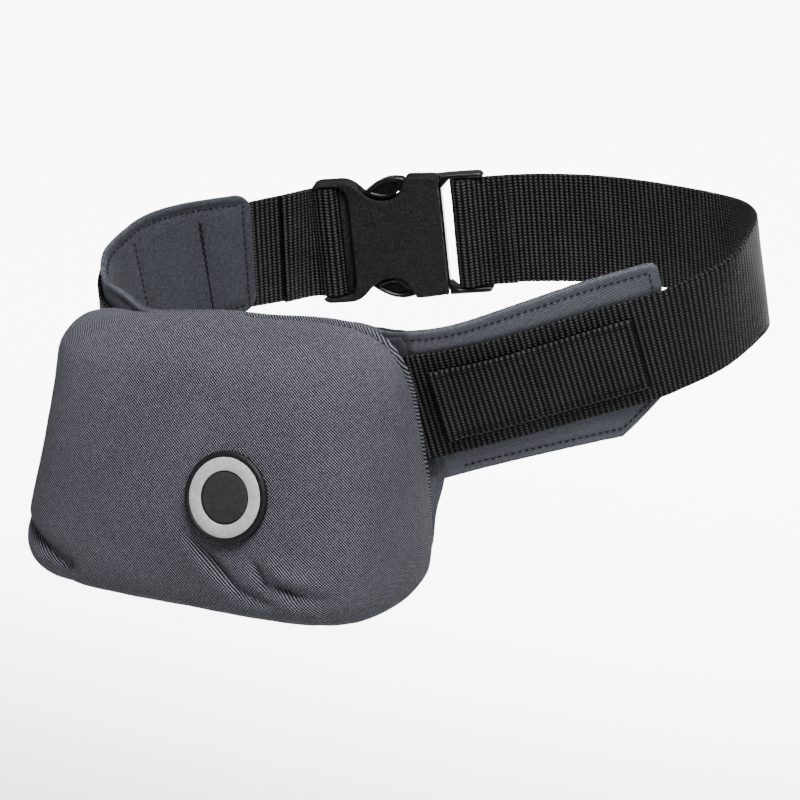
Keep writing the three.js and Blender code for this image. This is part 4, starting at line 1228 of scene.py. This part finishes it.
base = turnedPiece("badgeBase", baseRows, blackRubber, False)
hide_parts("badge_base")
ring = turnedPiece("badgeRing", ringRows, paleRubber, True)
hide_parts("badge_ring")
turnedPiece("badgeMiddle", middleRows, rubber, False)
print("buckle and badge made")

# studio: pale floor, soft lights, camera at the photograph's angle

studio = dict(azimuth=31.5, elevation=16.0, distance=2.2037, aim=(-0.0476, 0.0299, 0.0), lens=218.69,
              shift=(0.00975, -0.14275), floor=-0.42, floorHalf=12, world=0.21, spread=70)
# place and aim in metres, size in metres, power in watts
lamps = [
    ("keyLight", (1.25, -1.0, 2.45), (0, 0, 0), 0.9, 84),
    ("topLight", (0.16, -0.25, 0.58), (0, -0.1, 0), 0.4, 6.8),
    ("sideLight", (1.5, -2.1, 0.5), (0, 0, 0), 0.9, 5),
    ("rearLight", (0.2, 1.9, 1.7), (0, 0, 0), 1.2, 12),
    ("backdropLight", (-1.15, 1.85, 0.55), (-1.15, 1.85, -0.4), 2.8, 260),
]


def makeStudio():
    floorMesh = bpy.data.meshes.new("floor")
    w, z = studio["floorHalf"], studio["floor"]
    floorMesh.from_pydata([(-w, -w, z), (w, -w, z), (w, w, z), (-w, w, z)], [], [[0, 1, 2, 3]])
    floor = linked("floor", floorMesh)
    pale = Finish("paleFloor", Base_Color=(0.9, 0.9, 0.9, 1), Roughness=0.8)
    floorMesh.materials.append(pale.material)
    a, e = math.radians(studio["azimuth"]), math.radians(studio["elevation"])
    back = Vector((math.sin(a) * math.cos(e), -math.cos(a) * math.cos(e), math.sin(e)))
    right = Vector((math.cos(a), math.sin(a), 0))
    up = back.cross(right)
    data = bpy.data.cameras.new("camera")
    camera = linked("camera", data)
    turn = Matrix((right, up, back)).transposed().to_4x4()
    turn.translation = Vector(studio["aim"]) + back * studio["distance"]
    camera.matrix_world = turn
    data.sensor_width, data.lens = 36, studio["lens"]
    data.shift_x, data.shift_y = studio["shift"]
    data.clip_start, data.clip_end = 0.05, 60
    bpy.context.scene.camera = camera
    for name, place, aim, size, power in lamps:
        lampData = bpy.data.lights.new(name, "AREA")
        lampData.size, lampData.energy = size, power
        lamp = linked(name, lampData)
        lamp.location = place
        lamp.visible_camera = False
        if name == "backdropLight":
            # lights the floor behind only
            lampData.spread = math.radians(studio["spread"])
        lamp.rotation_mode = "QUATERNION"
        lamp.rotation_quaternion = (Vector(aim) - Vector(place)).to_track_quat("-Z", "Y")
    world = bpy.data.worlds.new("studio")
    world.use_nodes = True
    ground = next(n for n in world.node_tree.nodes if n.type == "BACKGROUND")
    ground.inputs["Color"].default_value = (1, 1, 1, 1)
    ground.inputs["Strength"].default_value = studio["world"]
    bpy.context.scene.world = world


makeStudio()
